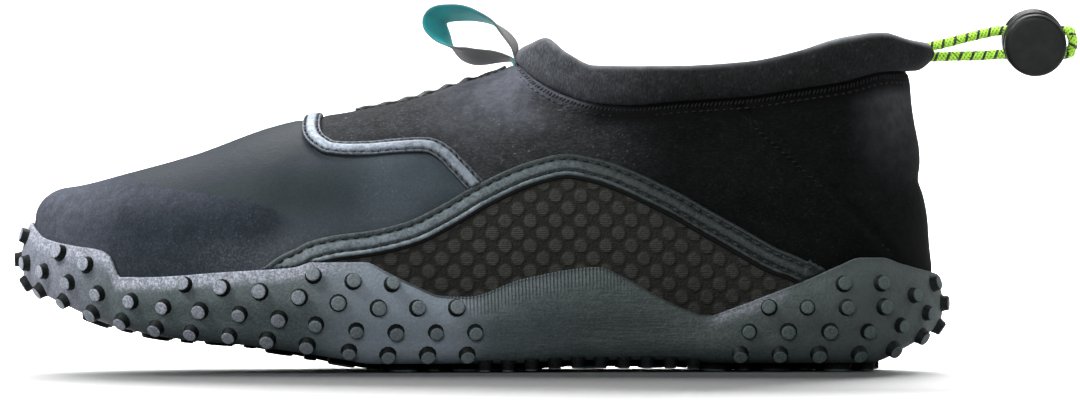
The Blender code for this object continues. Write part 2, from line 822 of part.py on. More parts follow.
def cord_route(exit_x):
    """Route of the drawcord: out of the beak, through the lock, round and back."""
    high, low = CORD_SPACING / 2, -CORD_SPACING / 2
    near, far = -LOCK_DIAMETER / 2, LOCK_DIAMETER / 2
    in_lock = (
        (near - 6.0 * MM, high - 1.0 * MM),
        (near, high),
        (0.0, high),
        (far, high),
        (far + 1.5 * MM, high - 1.0 * MM),
        (far + 2.2 * MM, 0.0),
        (far + 1.5 * MM, low + 1.0 * MM),
        (far, low),
        (0.0, low),
        (near, low),
        (near - 6.0 * MM, low - 0.4 * MM),
    )
    sine, cosine = math.sin(LOCK_TILT), math.cos(LOCK_TILT)
    middle = [(LOCK_X + x, -up * sine, LOCK_Z + up * cosine) for x, up in in_lock]
    start = [(exit_x, -1.0 * MM, LOCK_Z - 0.9 * MM), (exit_x + 5.0 * MM, -1.0 * MM, LOCK_Z + 0.3 * MM)]
    end = [(exit_x + 7.0 * MM, 0.6 * MM, LOCK_Z - 4.0 * MM), (exit_x, 1.0 * MM, LOCK_Z - 4.2 * MM)]
    return start + middle + end


def add_drawcord(material, exit_x):
    curve = bpy.data.curves.new("drawcord", "CURVE")
    curve.dimensions = "3D"
    curve.bevel_depth = CORD_DIAMETER / 2
    curve.bevel_resolution = 2
    curve.use_fill_caps = True
    route = curve_through(cord_route(exit_x), 26)
    spline = curve.splines.new("POLY")
    spline.points.add(len(route) - 1)
    for point, place in zip(spline.points, route):
        point.co = (*place, 1.0)
    curve.materials.append(material)
    cord = bpy.data.objects.new("drawcord", curve)
    SHOE.objects.link(cord)
    return cord


def turned_mesh(name, sides, profile):
    """A solid turned about the lock's axis, from pairs of place along it and radius."""
    shape = bmesh.new()
    rings = []
    for place, radius in profile:
        ring = []
        for k in range(sides):
            angle = 2 * math.pi * k / sides
            ring.append(shape.verts.new((radius * math.cos(angle), place, radius * math.sin(angle))))
        rings.append(ring)
    for first, second in zip(rings, rings[1:]):
        for k in range(sides):
            m = (k + 1) % sides
            shape.faces.new((first[k], first[m], second[m], second[k]))
    shape.faces.new(rings[0])
    shape.faces.new(rings[-1])
    bmesh.ops.recalc_face_normals(shape, faces=shape.faces)
    mesh = bpy.data.meshes.new(name)
    shape.to_mesh(mesh)
    shape.free()
    return mesh


def add_lock_body(material):
    """Barrel of the cord lock: a bore for the button's stem, and a slot that the cord passes twice."""
    near, far = -LOCK_NEAR_WALL, LOCK_DEPTH - LOCK_NEAR_WALL
    radius, edge = LOCK_DIAMETER / 2, 0.8 * MM
    profile = ((near, radius - edge / 2), (near + edge / 2, radius), (far - edge, radius), (far, radius - edge))
    body = bpy.data.objects.new("cord_lock_body", turned_mesh("cord_lock_body", LOCK_SIDES, profile))
    body.data.materials.append(material)
    SHOE.objects.link(body)
    bore_end = STEM_REACH + BUTTON_GAP + GAP
    bore = ((near - 1.0 * MM, STEM_DIAMETER / 2 + GAP), (bore_end, STEM_DIAMETER / 2 + GAP))
    bore_cutter = bpy.data.objects.new("stem_bore", turned_mesh("stem_bore", LOCK_SIDES // 2, bore))
    slot = bpy.data.meshes.new("cord_slot")
    shape = bmesh.new()
    width, height = CORD_DIAMETER + 2 * GAP, CORD_SPACING + CORD_DIAMETER + 2 * GAP
    bmesh.ops.create_cube(shape, size=1.0, matrix=Matrix.Diagonal((2 * LOCK_DIAMETER, width, height, 1.0)))
    shape.to_mesh(slot)
    shape.free()
    slot_cutter = bpy.data.objects.new("cord_slot", slot)
    for cutter in (bore_cutter, slot_cutter):
        CUTTERS.objects.link(cutter)
        cutter.hide_render = True
        cutter.display_type = "WIRE"
        cutter.parent = body
        cut = body.modifiers.new(cutter.name, "BOOLEAN")
        cut.operation = "DIFFERENCE"
        cut.solver = "EXACT"
        cut.object = cutter
    return body


def add_lock_button(material):
    """Push button of the cord lock: a round face on a stem that runs between the two strands."""
    front = -LOCK_NEAR_WALL - BUTTON_GAP - BUTTON_THICKNESS
    back = front + BUTTON_THICKNESS
    radius, stem = BUTTON_DIAMETER / 2, STEM_DIAMETER / 2
    profile = (
        (front, radius - 1.6 * MM),
        (front + 0.4 * MM, radius - 0.6 * MM),
        (front + 1.2 * MM, radius),
        (back - 0.5 * MM, radius),
        (back, radius - 0.5 * MM),
        (back, stem),
        (STEM_REACH, stem),
    )
    button = bpy.data.objects.new("cord_lock_button", turned_mesh("cord_lock_button", LOCK_SIDES, profile))
    button.data.materials.append(material)
    SHOE.objects.link(button)
    return button


def side_room():
    """Half the difference between the reaches to both sides, which centres the shoe's box on Y."""
    turns = [k / 60 for k in range(61)]
    reach = [max(side * cup_face(t, side, 0.5).y for t in turns) for side in (-1, 1)]
    return (reach[0] - reach[1]) / 2


for old in list(bpy.data.objects):
    bpy.data.objects.remove(old, do_unlink=True)

SHOE = bpy.data.collections.new("water_shoe")
CUTTERS = bpy.data.collections.new("cutters")
bpy.context.scene.collection.children.link(SHOE)
bpy.context.scene.collection.children.link(CUTTERS)

RUBBER = principled("outsole_rubber", (0.10, 0.13, 0.145), 0.75)
NEOPRENE = principled("neoprene", (0.014, 0.015, 0.018), 0.85)
FOAM = principled("insole_foam", (0.03, 0.03, 0.033), 0.9)
TRIM = principled("trim", (0.09, 0.115, 0.12), 0.5)
MESH = principled("air_mesh", (0.035, 0.031, 0.029), 0.8)
RIBBON = principled("loop_ribbon", (0.09, 0.10, 0.105), 0.7)
CORD = principled("elastic_cord", (0.33, 0.75, 0.04), 0.6)
PLASTIC = principled("lock_plastic", (0.012, 0.012, 0.013), 0.45)

add_outsole(RUBBER)
add_upper(NEOPRENE)
add_insole(FOAM)
band = add_collar_band(NEOPRENE)
add_vamp_trim(TRIM)
for side_name, side_sign in (("lateral", -1), ("medial", 1)):
    add_arch_trim("arch_trim_" + side_name, side_sign, TRIM)
    add_mesh_panel("mesh_panel_" + side_name, side_sign, MESH)
add_instep_seam(TRIM)
band_front = min((v.co for v in band.data.vertices), key=lambda co: co.x)
beak_end = max(v.co.x for v in band.data.vertices)
add_pull_loop(RIBBON, Vector((band_front.x + LOOP_SEAT, 0.0, band_front.z)))
add_drawcord(CORD, beak_end + GAP)
lock_turn = Matrix.Rotation(LOCK_TILT, 4, "X")
for lock_part in (add_lock_body(PLASTIC), add_lock_button(PLASTIC)):
    lock_part.matrix_world = Matrix.Translation((LOCK_X, 0.0, LOCK_Z)) @ lock_turn

shift = Matrix.Translation((0.0, side_room(), 0.0))
for part in list(SHOE.objects) + [CUTTERS.objects["outsole_studs"]]:
    part.matrix_world = shift @ part.matrix_world
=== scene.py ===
"""Dressed model of the left water shoe: its neoprene, rubber, trims, mesh, stitches, ribbon and cord.

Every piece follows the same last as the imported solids: toe to -X, outer (lateral) side to -Y.
"""

import math
import random

import bmesh
import bpy
from mathutils import Matrix, Vector


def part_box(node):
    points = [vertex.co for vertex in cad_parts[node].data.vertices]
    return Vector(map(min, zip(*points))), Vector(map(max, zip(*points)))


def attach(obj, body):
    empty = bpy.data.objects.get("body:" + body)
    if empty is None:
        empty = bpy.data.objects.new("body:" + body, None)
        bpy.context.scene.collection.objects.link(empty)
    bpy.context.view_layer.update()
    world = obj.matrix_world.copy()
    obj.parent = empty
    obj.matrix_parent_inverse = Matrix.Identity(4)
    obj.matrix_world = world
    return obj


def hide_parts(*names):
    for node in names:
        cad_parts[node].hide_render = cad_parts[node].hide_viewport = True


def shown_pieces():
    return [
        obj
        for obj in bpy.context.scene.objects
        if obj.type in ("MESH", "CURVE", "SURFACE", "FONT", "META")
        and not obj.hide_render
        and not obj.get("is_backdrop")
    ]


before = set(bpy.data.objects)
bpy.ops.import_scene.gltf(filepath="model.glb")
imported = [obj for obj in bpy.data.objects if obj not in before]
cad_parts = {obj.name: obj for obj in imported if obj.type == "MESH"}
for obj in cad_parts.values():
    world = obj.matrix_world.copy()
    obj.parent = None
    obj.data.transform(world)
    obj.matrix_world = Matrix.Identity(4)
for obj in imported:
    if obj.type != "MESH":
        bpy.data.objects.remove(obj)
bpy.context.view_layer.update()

MM = 0.001

# Sizes of the last, the rubber, the trims, the band, the loop, the cord and the lock, as in the part
LAST_LENGTH = 264.3 * MM
BALL_WIDTH = 92.0 * MM
INSTEP_HEIGHT = 90.0 * MM
TOE_SPRING = 19.4 * MM
TOE_ROUND_LENGTH = 74.0 * MM
TOE_ROUND_POWER = 2.3
HEEL_ROUND_LENGTH = 46.0 * MM
HEEL_ROUND_POWER = 2.2
NOSE_LENGTH = 9.5 * MM
NOSE_DROP = 8.2 * MM
TOE_LEAN = 0.6 * MM
HEEL_LEAN = 6.9 * MM
HEEL_LEAN_FROM = 31.0 * MM
HEEL_LEAN_RISE = 55.0 * MM
HEEL_LEAN_POWER = 0.95
TUCK = 0.06
THROAT = 0.539
WIDEST_GIRTH = 0.75
GAP = 0.3 * MM
UPPER_WALL = 2.6 * MM
CUP_WALL = 3.4 * MM
INSOLE_THICKNESS = 3.0 * MM
SOLE_THICKNESS = 7.0 * MM
HEEL_STEP = 2.0 * MM
LUG_DEPTH = 2.6 * MM
RUBBER_HEIGHT = 33.2 * MM
STUD_PITCH = 11.5 * MM
STUD_ROW_HEIGHTS = (2.8 * MM, 9.3 * MM, 16.2 * MM, 23.0 * MM)
STUD_EDGE_MARGIN = 2.6 * MM
STUDS_FRONT_END = 0.50
STUDS_REAR_START = 0.775
LUG_RADIUS = 4.6 * MM
LUG_PITCH = 18.0 * MM
LUG_MARGIN = 7.0 * MM
LUGS_END = 0.95
VAMP_TRIM_HALF = 2.7 * MM
ARCH_TRIM_HALF = 3.4 * MM
SEAM_HALF = 2.2 * MM
SEAM_PITCH = 6.0 * MM
SEAM_START = 0.360
SEAM_END = 0.528
MESH_START = 0.297
MESH_END = 0.852
BAND_THICKNESS = 5.0 * MM
BEAK_REACH = 6.2 * MM
BEAK_SPREAD = 9.0 * MM
FRONT_LEAN = 3.2 * MM
LOOP_LENGTH = 26.0 * MM
LOOP_HEIGHT = 13.0 * MM
LOOP_RIBBON_WIDTH = 10.0 * MM
LOOP_SEAT = 0.4 * MM
LOOP_BASE = 92.5 * MM
CORD_DIAMETER = 2.9 * MM
CORD_SPACING = 7.0 * MM
LOCK_X = 162.2 * MM
LOCK_Z = 96.2 * MM
LOCK_DIAMETER = 18.6 * MM
LOCK_DEPTH = 9.7 * MM
LOCK_NEAR_WALL = 3.2 * MM
BUTTON_DIAMETER = 18.2 * MM
BUTTON_THICKNESS = 3.4 * MM
BUTTON_GAP = 2.8 * MM
LOCK_TILT = math.radians(8)

# Sizes and steps of the scene's own small forms
WELD = 0.01 * MM
CUP_STATIONS = 330
INSOLE_STATIONS = 120
UPPER_STEPS = (240, 6, 66)
LINING_STEPS = (100, 4, 26)
CORD_TUCK = 2.5 * MM
CORD_SIDES = 16
BRAID_PITCH = 3.5 * MM
LOCK_SIDES = 96
STUD_SIDES = 12
SMALL_LUG_SIDES = 10
WAIST_LUGS_START = 0.505
WAIST_LUG_PITCH = 6.7 * MM
WAIST_LUG_INSET = 3.4 * MM
TRIM_SEAT = 0.1 * MM
STITCH_LIFT = 0.85 * MM
DARK_BEAD_RADIUS = 0.5 * MM
MESH_LIFT = 0.75 * MM
TAPE_STEPS = 14
MESH_PITCH = 7.3 * MM
BAND_CORNERS = 30

# Half the ribbon's thickness, and offsets and depth of the tread's ribs, in mm
RIBBON_HALF_THICKNESS = 0.45
RIB_STEPS = 260
RIB_START = 0.24
RIB_OFFSETS = (-5.5, 5.5)
RIB_DEPTH = 2.3

# Threads: length, width, height and pitch of a stitch
VAMP_STITCH = (1.5 * MM, 0.9 * MM, 0.5 * MM, 2.5 * MM)
ARCH_STITCH = (1.9 * MM, 0.85 * MM, 0.5 * MM, 3.3 * MM)
TAPE_STITCH = (1.5 * MM, 0.5 * MM, 0.4 * MM, 2.2 * MM)
HEEL_STITCH = (1.6 * MM, 0.6 * MM, 0.6 * MM, 2.1 * MM)
OVERLOCK_THREAD = (1.5 * MM, 0.55 * MM, 0.6 * MM)

# Studs and lugs: height and radius in mm, from the root up
STUD = ((-1.0, 2.55), (0.0, 2.5), (0.3, 2.3), (1.5, 2.12), (1.95, 2.05), (2.07, 1.9), (2.1, 1.4))
LUG = ((-1.0, 4.7), (0.0, 4.65), (0.4, 4.4), (2.1, 4.05), (2.45, 3.85), (2.6, 3.4), (2.6, 1.8), (2.35, 1.5))
SMALL_LUG = ((-1.0, 2.3), (0.0, 2.2), (0.3, 2.05), (1.9, 1.85), (2.2, 1.7), (2.35, 1.3))


class Table:
    """Rows of named columns, read along the shoe with a curve that never overshoots its rows."""

    def __init__(self, columns, rows):
        self.columns = dict(zip(columns, zip(*rows)))
        self.known = {}

    def at(self, name, along):
        key = (name, along)
        if key not in self.known:
            self.known[key] = self.value(self.columns["along"], self.columns[name], along)
        return self.known[key]

    def value(self, xs, ys, along):
        if along <= xs[0]:
            return ys[0]
        if along >= xs[-1]:
            return ys[-1]
        i = next(k for k in range(1, len(xs)) if along <= xs[k]) - 1
        step = xs[i + 1] - xs[i]
        t = (along - xs[i]) / step
        start = self.slope(xs, ys, i) * step
        end = self.slope(xs, ys, i + 1) * step
        rise = ys[i + 1] - ys[i]
        return ys[i] + start * t + (3 * rise - 2 * start - end) * t**2 + (start + end - 2 * rise) * t**3

    @staticmethod
    def slope(xs, ys, i):
        if i == 0 or i == len(xs) - 1:
            j = max(i - 1, 0)
            return (ys[j + 1] - ys[j]) / (xs[j + 1] - xs[j])
        before = (ys[i] - ys[i - 1]) / (xs[i] - xs[i - 1])
        after = (ys[i + 1] - ys[i]) / (xs[i + 1] - xs[i])
        if before * after <= 0:
            return 0.0
        return 2 * before * after / (before + after)


SECTIONS = Table(
    ("along", "centre", "lateral", "medial", "widest", "crest", "fullness"),
    (
        (0.000, 0.100, 0.43, 0.42, 0.34, 0.583, 2.40),
        (0.050, 0.085, 0.45, 0.44, 0.32, 0.602, 2.40),
        (0.100, 0.070, 0.47, 0.46, 0.30, 0.638, 2.35),
        (0.180, 0.045, 0.50, 0.475, 0.26, 0.702, 2.30),
        (0.270, 0.022, 0.53, 0.49, 0.24, 0.795, 2.20),
        (0.330, 0.012, 0.535, 0.48, 0.22, 0.832, 2.10),
        (0.400, 0.004, 0.50, 0.44, 0.20, 0.868, 2.00),
        (0.470, 0.000, 0.455, 0.40, 0.18, 0.925, 1.95),
        (0.539, 0.000, 0.42, 0.375, 0.17, 1.000, 1.95),
        (0.600, 0.000, 0.385, 0.36, 0.16, 1.100, 2.00),
        (0.680, 0.000, 0.36, 0.345, 0.15, 1.222, 2.00),
        (0.780, 0.000, 0.345, 0.34, 0.15, 1.333, 2.00),
        (0.880, 0.000, 0.345, 0.345, 0.15, 1.422, 2.00),
        (1.000, 0.000, 0.335, 0.335, 0.15, 1.489, 2.00),
    ),
)
SOLE_LINE = Table(
    ("along", "rise"),
    (
        (0.000, 1.06), (0.035, 0.85), (0.090, 0.56), (0.165, 0.366), (0.245, 0.27), (0.350, 0.07),
        (0.385, 0.0), (0.530, 0.0), (0.610, 0.045), (0.700, 0.045), (0.770, 0.0), (0.930, 0.0),
        (0.975, 0.22), (1.000, 0.42),
    ),
)
RUBBER_EDGE = Table(
    ("along", "height"),
    (
        (0.000, 1.307), (0.020, 1.166), (0.052, 1.105), (0.082, 1.069), (0.095, 1.015), (0.107, 0.831),
        (0.133, 0.831), (0.223, 0.877), (0.298, 0.919), (0.318, 0.964), (0.374, 0.964), (0.397, 0.883),
        (0.429, 0.759), (0.457, 0.672), (0.485, 0.663), (0.548, 0.822), (0.627, 0.919), (0.659, 0.822),
        (0.690, 0.681), (0.722, 0.557), (0.750, 0.494), (0.772, 0.548), (0.811, 0.663), (0.861, 0.822),
        (0.891, 0.928), (0.917, 1.000), (0.940, 1.000), (0.960, 0.946), (1.000, 0.858),
    ),
)
CUP_PROFILE = Table(
    ("along", "out"),
    ((0.0, -0.70), (0.03, -0.25), (0.10, 0.35), (0.28, 0.88), (0.50, 1.0), (0.80, 0.74), (1.0, 0.38)),
)
TOPLINE = Table(
    ("along", "seam", "top"),
    (
        (0.539, 1.000, 1.060), (0.560, 0.941, 1.080), (0.5925, 0.890, 1.032), (0.6235, 0.864, 0.990),
        (0.667, 0.856, 0.987), (0.722, 0.869, 0.988), (0.807, 0.885, 1.002), (0.8645, 0.908, 1.034),
        (0.921, 0.932, 1.080), (0.971, 0.966, 1.098), (1.000, 0.972, 1.070),
    ),
)
VAMP_TRIM = (
    (0.314, 0.773), (0.328, 0.730), (0.345, 0.717), (0.371, 0.716), (0.406, 0.724), (0.440, 0.728),
    (0.459, 0.704), (0.474, 0.662), (0.484, 0.632), (0.4905, 0.611), (0.500, 0.585),
)
ARCH_TRIM = Table(
    ("along", "height"),
    (
        (0.262, 0.283), (0.2715, 0.307), (0.290, 0.346), (0.305, 0.366), (0.318, 0.386), (0.345, 0.405),
        (0.378, 0.417), (0.4225, 0.448), (0.467, 0.511), (0.500, 0.568), (0.5614, 0.646), (0.5947, 0.666),
        (0.6247, 0.652), (0.7068, 0.554), (0.7446, 0.492), (0.7834, 0.428), (0.8168, 0.370),
        (0.8445, 0.334), (0.862, 0.308), (0.880, 0.275),
    ),
)

# Dark toe patch, from its rear edge to places ahead of the toe, and the diagonal heel seam:
# along the shoe and up, as shares
TOE_PATCH_EDGE = (
    (0.075, 0.76), (0.100, 0.675), (0.128, 0.605), (0.151, 0.594), (0.202, 0.574), (0.247, 0.551),
    (0.273, 0.528), (0.287, 0.499), (0.283, 0.450), (0.270, 0.400), (0.250, 0.330),
)
TOE_PATCH_AHEAD = ((0.235, 0.200), (-0.10, 0.200), (-0.10, 0.800))
HEEL_SEAM = ((0.781, 0.868), (0.802, 0.812), (0.819, 0.766), (0.872, 0.626), (0.921, 0.473), (0.950, 0.391))

# Soft creases of the neoprene: start and end (along, up as shares), half width and rise in mm
CREASES = (
    ((0.985, 0.620), (0.930, 0.600), 3.2, -0.9),
    ((0.995, 0.720), (0.900, 0.740), 7.0, 0.7),
    ((0.990, 0.500), (0.900, 0.450), 7.0, 0.6),
    ((0.560, 0.860), (0.640, 0.790), 5.0, -0.7),
    ((0.600, 0.840), (0.720, 0.800), 6.0, 0.6),
    ((0.700, 0.760), (0.860, 0.700), 9.0, -0.6),
    ((0.480, 0.880), (0.530, 0.780), 7.0, 0.6),
    ((0.660, 0.700), (0.780, 0.560), 8.0, 0.7),
    ((0.800, 0.520), (0.870, 0.440), 6.0, -0.7),
    ((0.300, 0.560), (0.380, 0.520), 9.0, -0.5),
    ((0.400, 0.640), (0.450, 0.560), 8.0, 0.6),
    ((0.120, 0.450), (0.260, 0.430), 7.0, -0.5),
    ((0.310, 0.700), (0.345, 0.800), 5.0, -0.5),
)

# Ribbon of the pull loop: forward of its base, above its base, and turn of its face in degrees
LOOP_FOLDS = (
    (0.00, -0.27, 0), (0.03, -0.12, 3), (0.12, -0.07, 12), (0.27, -0.05, 22), (0.43, -0.05, 27),
    (0.58, 0.03, 22), (0.69, 0.16, 2), (0.79, 0.36, -24), (0.87, 0.56, -38), (0.91, 0.73, -44),
    (0.875, 0.87, -38), (0.75, 0.94, -30), (0.60, 0.945, -26), (0.445, 0.885, -17), (0.265, 0.75, -4),
    (0.118, 0.50, 12), (0.016, 0.24, 14), (-0.005, 0.02, 6), (-0.01, -0.22, 0),
)


def smooth(t):
    t = min(max(t, 0.0), 1.0)
    return t * t * (3 - 2 * t)


def evenly(first, last, steps):
    """Places from first to last, both included."""
    return [first + (last - first) * k / steps for k in range(steps + 1)]


def mirrored(half, middle=()):
    """Whole section from its right half and what lies in its middle."""
    return [(-c, h) for c, h in reversed(half)] + list(middle) + list(half)


def tip_round(distance, length, power):
    if distance >= length:
        return 1.0
    return (1 - (1 - max(distance, 0.0) / length) ** power) ** (1 / power)


def half_width(along, side):
    name = "lateral" if side < 0 else "medial"
    toe = tip_round(along * LAST_LENGTH, TOE_ROUND_LENGTH, TOE_ROUND_POWER)
    heel = tip_round((1 - along) * LAST_LENGTH, HEEL_ROUND_LENGTH, HEEL_ROUND_POWER)
    return SECTIONS.at(name, along) * BALL_WIDTH * toe * heel


def x_of(along):
    return (along - 0.5) * LAST_LENGTH


def along_at(x):
    return x / LAST_LENGTH + 0.5


def centre_line(along):
    return SECTIONS.at("centre", along) * BALL_WIDTH


def seam_height(along):
    """Height of the seam between the upper and the collar band."""
    return TOPLINE.at("seam", along) * INSTEP_HEIGHT


def sole_line(along):
    return LUG_DEPTH + TOE_SPRING * SOLE_LINE.at("rise", along)


def footbed(along):
    return sole_line(along) + SOLE_THICKNESS + HEEL_STEP * smooth((along - 0.45) / 0.35)


def rubber_edge(along):
    return RUBBER_HEIGHT * RUBBER_EDGE.at("height", along)


def crest(along):
    nose = tip_round(along * LAST_LENGTH, NOSE_LENGTH, 2.0)
    return INSTEP_HEIGHT * SECTIONS.at("crest", along) - NOSE_DROP * (1 - nose)


def widest_height(along):
    low = footbed(along)
    return low + SECTIONS.at("widest", along) * (crest(along) - low)


def lean(along, height):
    """Shift along X that tips the nose back and the heel counter forward, higher up."""
    low = widest_height(along)
    nose = max(height - low, 0.0) / (crest(along) - low)
    toe = TOE_LEAN * nose * (1 - smooth(along / 0.15))
    rise = max(height - HEEL_LEAN_FROM, 0.0) / HEEL_LEAN_RISE
    return toe - HEEL_LEAN * rise**HEEL_LEAN_POWER * smooth((along - 0.6) / 0.4)


def last_point(turn, side, height):
    """Point of the last at a height. turn runs from 0 at the toe to 1 at the heel, closer at both tips."""
    if turn < 0:
        turn, side = -turn, -side
    if turn > 1:
        turn, side = 2 - turn, -side
    along = (1 - math.cos(math.pi * turn)) / 2
    low, middle, top = footbed(along), widest_height(along), crest(along)
    power = SECTIONS.at("fullness", along)
    if height > middle:
        spread = max(1 - min((height - middle) / (top - middle), 1.0) ** power, 0.0) ** (1 / power)
    else:
        spread = 1 - TUCK * min((middle - height) / (middle - low), 1.0) ** 2
    x = x_of(along) + lean(along, height)
    y = centre_line(along) + side * half_width(along, side) * spread
    return Vector((x, y, height))


def turn_of(along):
    return math.acos(1 - 2 * min(max(along, 0.0), 1.0)) / math.pi


def along_of(turn):
    return (1 - math.cos(math.pi * turn)) / 2


def height_at(along, girth):
    """Height on the last: girth is 0 on the crest, 0.75 where the section is widest, 1 at the footbed."""
    low, middle, top = footbed(along), widest_height(along), crest(along)
    up = abs(girth)
    if up >= WIDEST_GIRTH:
        return middle - (middle - low) * (up - WIDEST_GIRTH) / (1 - WIDEST_GIRTH)
    angle = math.pi / 2 * (1 - up / WIDEST_GIRTH)
    return middle + (top - middle) * math.sin(angle) ** (2 / SECTIONS.at("fullness", along))


def girth_at(along, height):
    low, middle, top = footbed(along), widest_height(along), crest(along)
    if height <= middle:
        return WIDEST_GIRTH + (1 - WIDEST_GIRTH) * (middle - height) / (middle - low)
    ratio = min((height - middle) / (top - middle), 1.0)
    angle = math.asin(ratio ** (SECTIONS.at("fullness", along) / 2))
    return WIDEST_GIRTH * (1 - angle / (math.pi / 2))


def skin_point(turn, girth):
    if turn < 0:
        turn, girth = -turn, -girth
    if turn > 1:
        turn, girth = 2 - turn, -girth
    side = -1 if girth < 0 else 1
    return last_point(turn, side, height_at(along_of(turn), girth))


def skin_slopes(turn, girth):
    step = 0.002
    forward = (skin_point(turn + step, girth) - skin_point(turn - step, girth)) / (2 * step)
    around = (skin_point(turn, girth + step) - skin_point(turn, girth - step)) / (2 * step)
    return forward, around


def skin(turn, girth, lift):
    """Point on the upper's outer face, lifted along its normal. Lateral girths are negative."""
    forward, around = skin_slopes(turn, girth)
    return skin_point(turn, girth) + forward.cross(around).normalized() * lift


def skin_normal(turn, girth):
    forward, around = skin_slopes(turn, girth)
    return forward.cross(around).normalized()


def on_shoe(turn, girth, lift):
    """The same point in the frame of the pack."""
    return skin(turn, girth, lift) + SHIFT


def level_point(turn, side, height, out):
    """Point of the last moved level and square to its outline."""
    step = 0.004
    ahead = last_point(turn + step, side, height) - last_point(turn - step, side, height)
    normal = Vector((-ahead.y, ahead.x, 0.0)).normalized() * side
    return last_point(turn, side, height) + normal * out


def cup_face(turn, side, up):
    """Point on the outer face of the rubber: up is 0 at its bottom edge and 1 at its top edge."""
    along = along_of(min(max(turn, 0.0), 1.0))
    bottom = sole_line(along)
    height = bottom + (rubber_edge(along) - bottom) * up
    return level_point(turn, side, height, CUP_PROFILE.at("out", up) * CUP_WALL)


def side_room():
    """Half the difference between the reaches to both sides, which centres the shoe's box on Y."""
    turns = evenly(0.0, 1.0, 60)
    reach = [max(side * cup_face(t, side, 0.5).y for t in turns) for side in (-1, 1)]
    return (reach[0] - reach[1]) / 2


SHIFT = Vector((0.0, side_room(), 0.0))


def arch_height(along):
    """Height of the arch trim's centre line. Both its ends run in behind the rubber."""
    return ARCH_TRIM.at("height", along) * INSTEP_HEIGHT


def curve_through(points, count):
    """Evenly counted points on a Catmull-Rom curve through a few chosen ones."""
    result = []
    spans = len(points) - 1
    for k in range(count):
        place = spans * k / (count - 1)
        i = min(int(place), spans - 1)
        t = place - i
        p1, p2 = points[i], points[i + 1]
        p0 = points[i - 1] if i else p1
        p3 = points[i + 2] if i + 2 <= spans else p2
        result.append(
            tuple(
                b + 0.5 * t * (c - a + t * (2 * a - 5 * b + 4 * c - d + t * (3 * (b - c) + d - a)))
                for a, b, c, d in zip(p0, p1, p2, p3)
            )
        )
    return result


def lattice(rows, columns, around=False, along=False, start=0):
    """Quads between rows of points; around joins the last column to the first, along the last row."""
    faces = []
    for i in range(rows if along else rows - 1):
        for j in range(columns if around else columns - 1):
            a, b = start + i * columns, start + (i + 1) % rows * columns
            m = (j + 1) % columns
            faces.append((a + j, a + m, b + m, b + j))
    return faces


def cap(start, count):
    return tuple(range(start, start + count))


def closed_tube(rows, sides, start=0):
    """Faces of rings of points joined in a round shape, with both its ends closed."""
    ends = [cap(start, sides), cap(start + (rows - 1) * sides, sides)]
    return lattice(rows, sides, around=True, start=start) + ends


def closed_strip(rows, columns):
    """Faces of a flat strip: its upper points come first, then its lower ones."""
    size = rows * columns
    faces = lattice(rows, columns) + [tuple(reversed(f)) for f in lattice(rows, columns, start=size)]
    for i in range(rows - 1):
        for j in (0, columns - 1):
            a, b = i * columns + j, (i + 1) * columns + j
            faces.append((a, b, size + b, size + a))
    for i in (0, rows - 1):
        for j in range(columns - 1):
            a = i * columns + j
            faces.append((a, a + 1, size + a + 1, size + a))
    return faces


def closed_ring(start, count):
    """Faces from side to side that close a ring of points."""
    faces = []
    for j in range(count // 2):
        across = [start + j, start + j + 1, start + (count - j - 1) % count, start + (count - j) % count]
        faces.append(tuple(dict.fromkeys(across)))
    return faces


def spoke(k, sides, twist=0.0):
    """Cosine and sine of one of the evenly spread angles of a ring."""
    angle = 2 * math.pi * k / sides + twist
    return math.cos(angle), math.sin(angle)


def once_round(turns):
    """Turn and side of each station once around the shoe, along its lateral side and back."""
    return [(t, -1) for t in turns] + [(t, 1) for t in reversed(turns[1:-1])]


def in_scene(name, data):
    made = bpy.data.objects.new(name, data)
    bpy.context.scene.collection.objects.link(made)
    return made


def new_mesh(name, points, faces, materials, fields):
    """A mesh; fields are numbers or triples kept at its points for its material."""
    mesh = bpy.data.meshes.new(name)
    mesh.from_pydata([tuple(p) for p in points], [], faces)
    for key, values in fields.items():
        if isinstance(values[0], float):
            mesh.attributes.new(key, "FLOAT", "POINT").data.foreach_set("value", values)
        else:
            flat = [c for v in values for c in v]
            mesh.attributes.new(key, "FLOAT_VECTOR", "POINT").data.foreach_set("vector", flat)
    for material in materials:
        mesh.materials.append(material)
    return mesh


def show(name, mesh, nodes, body):
    """Put a mesh in the scene as a piece that rides on a body and replaces nodes of the pack."""
    piece = in_scene(name, mesh)
    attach(piece, body)
    if nodes:
        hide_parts(*nodes)
    return piece


def make(name, points, faces, materials, slot, nodes=(), body="shoe", sharp=None, choose=None, **fields):
    """A welded piece of the shoe; choose gives the material of each of its faces."""
    mesh = new_mesh(name, points, faces, materials, fields)
    shape = bmesh.new()
    shape.from_mesh(mesh)
    bmesh.ops.remove_doubles(shape, verts=shape.verts, dist=WELD)
    bmesh.ops.recalc_face_normals(shape, faces=shape.faces)
    if choose:
        for face in shape.faces:
            face.material_index = choose(face)
    shape.to_mesh(mesh)
    shape.free()
    mesh.shade_smooth()
    if sharp:
        mesh.set_sharp_from_angle(angle=math.radians(sharp))
    return show(name, mesh, nodes, body)


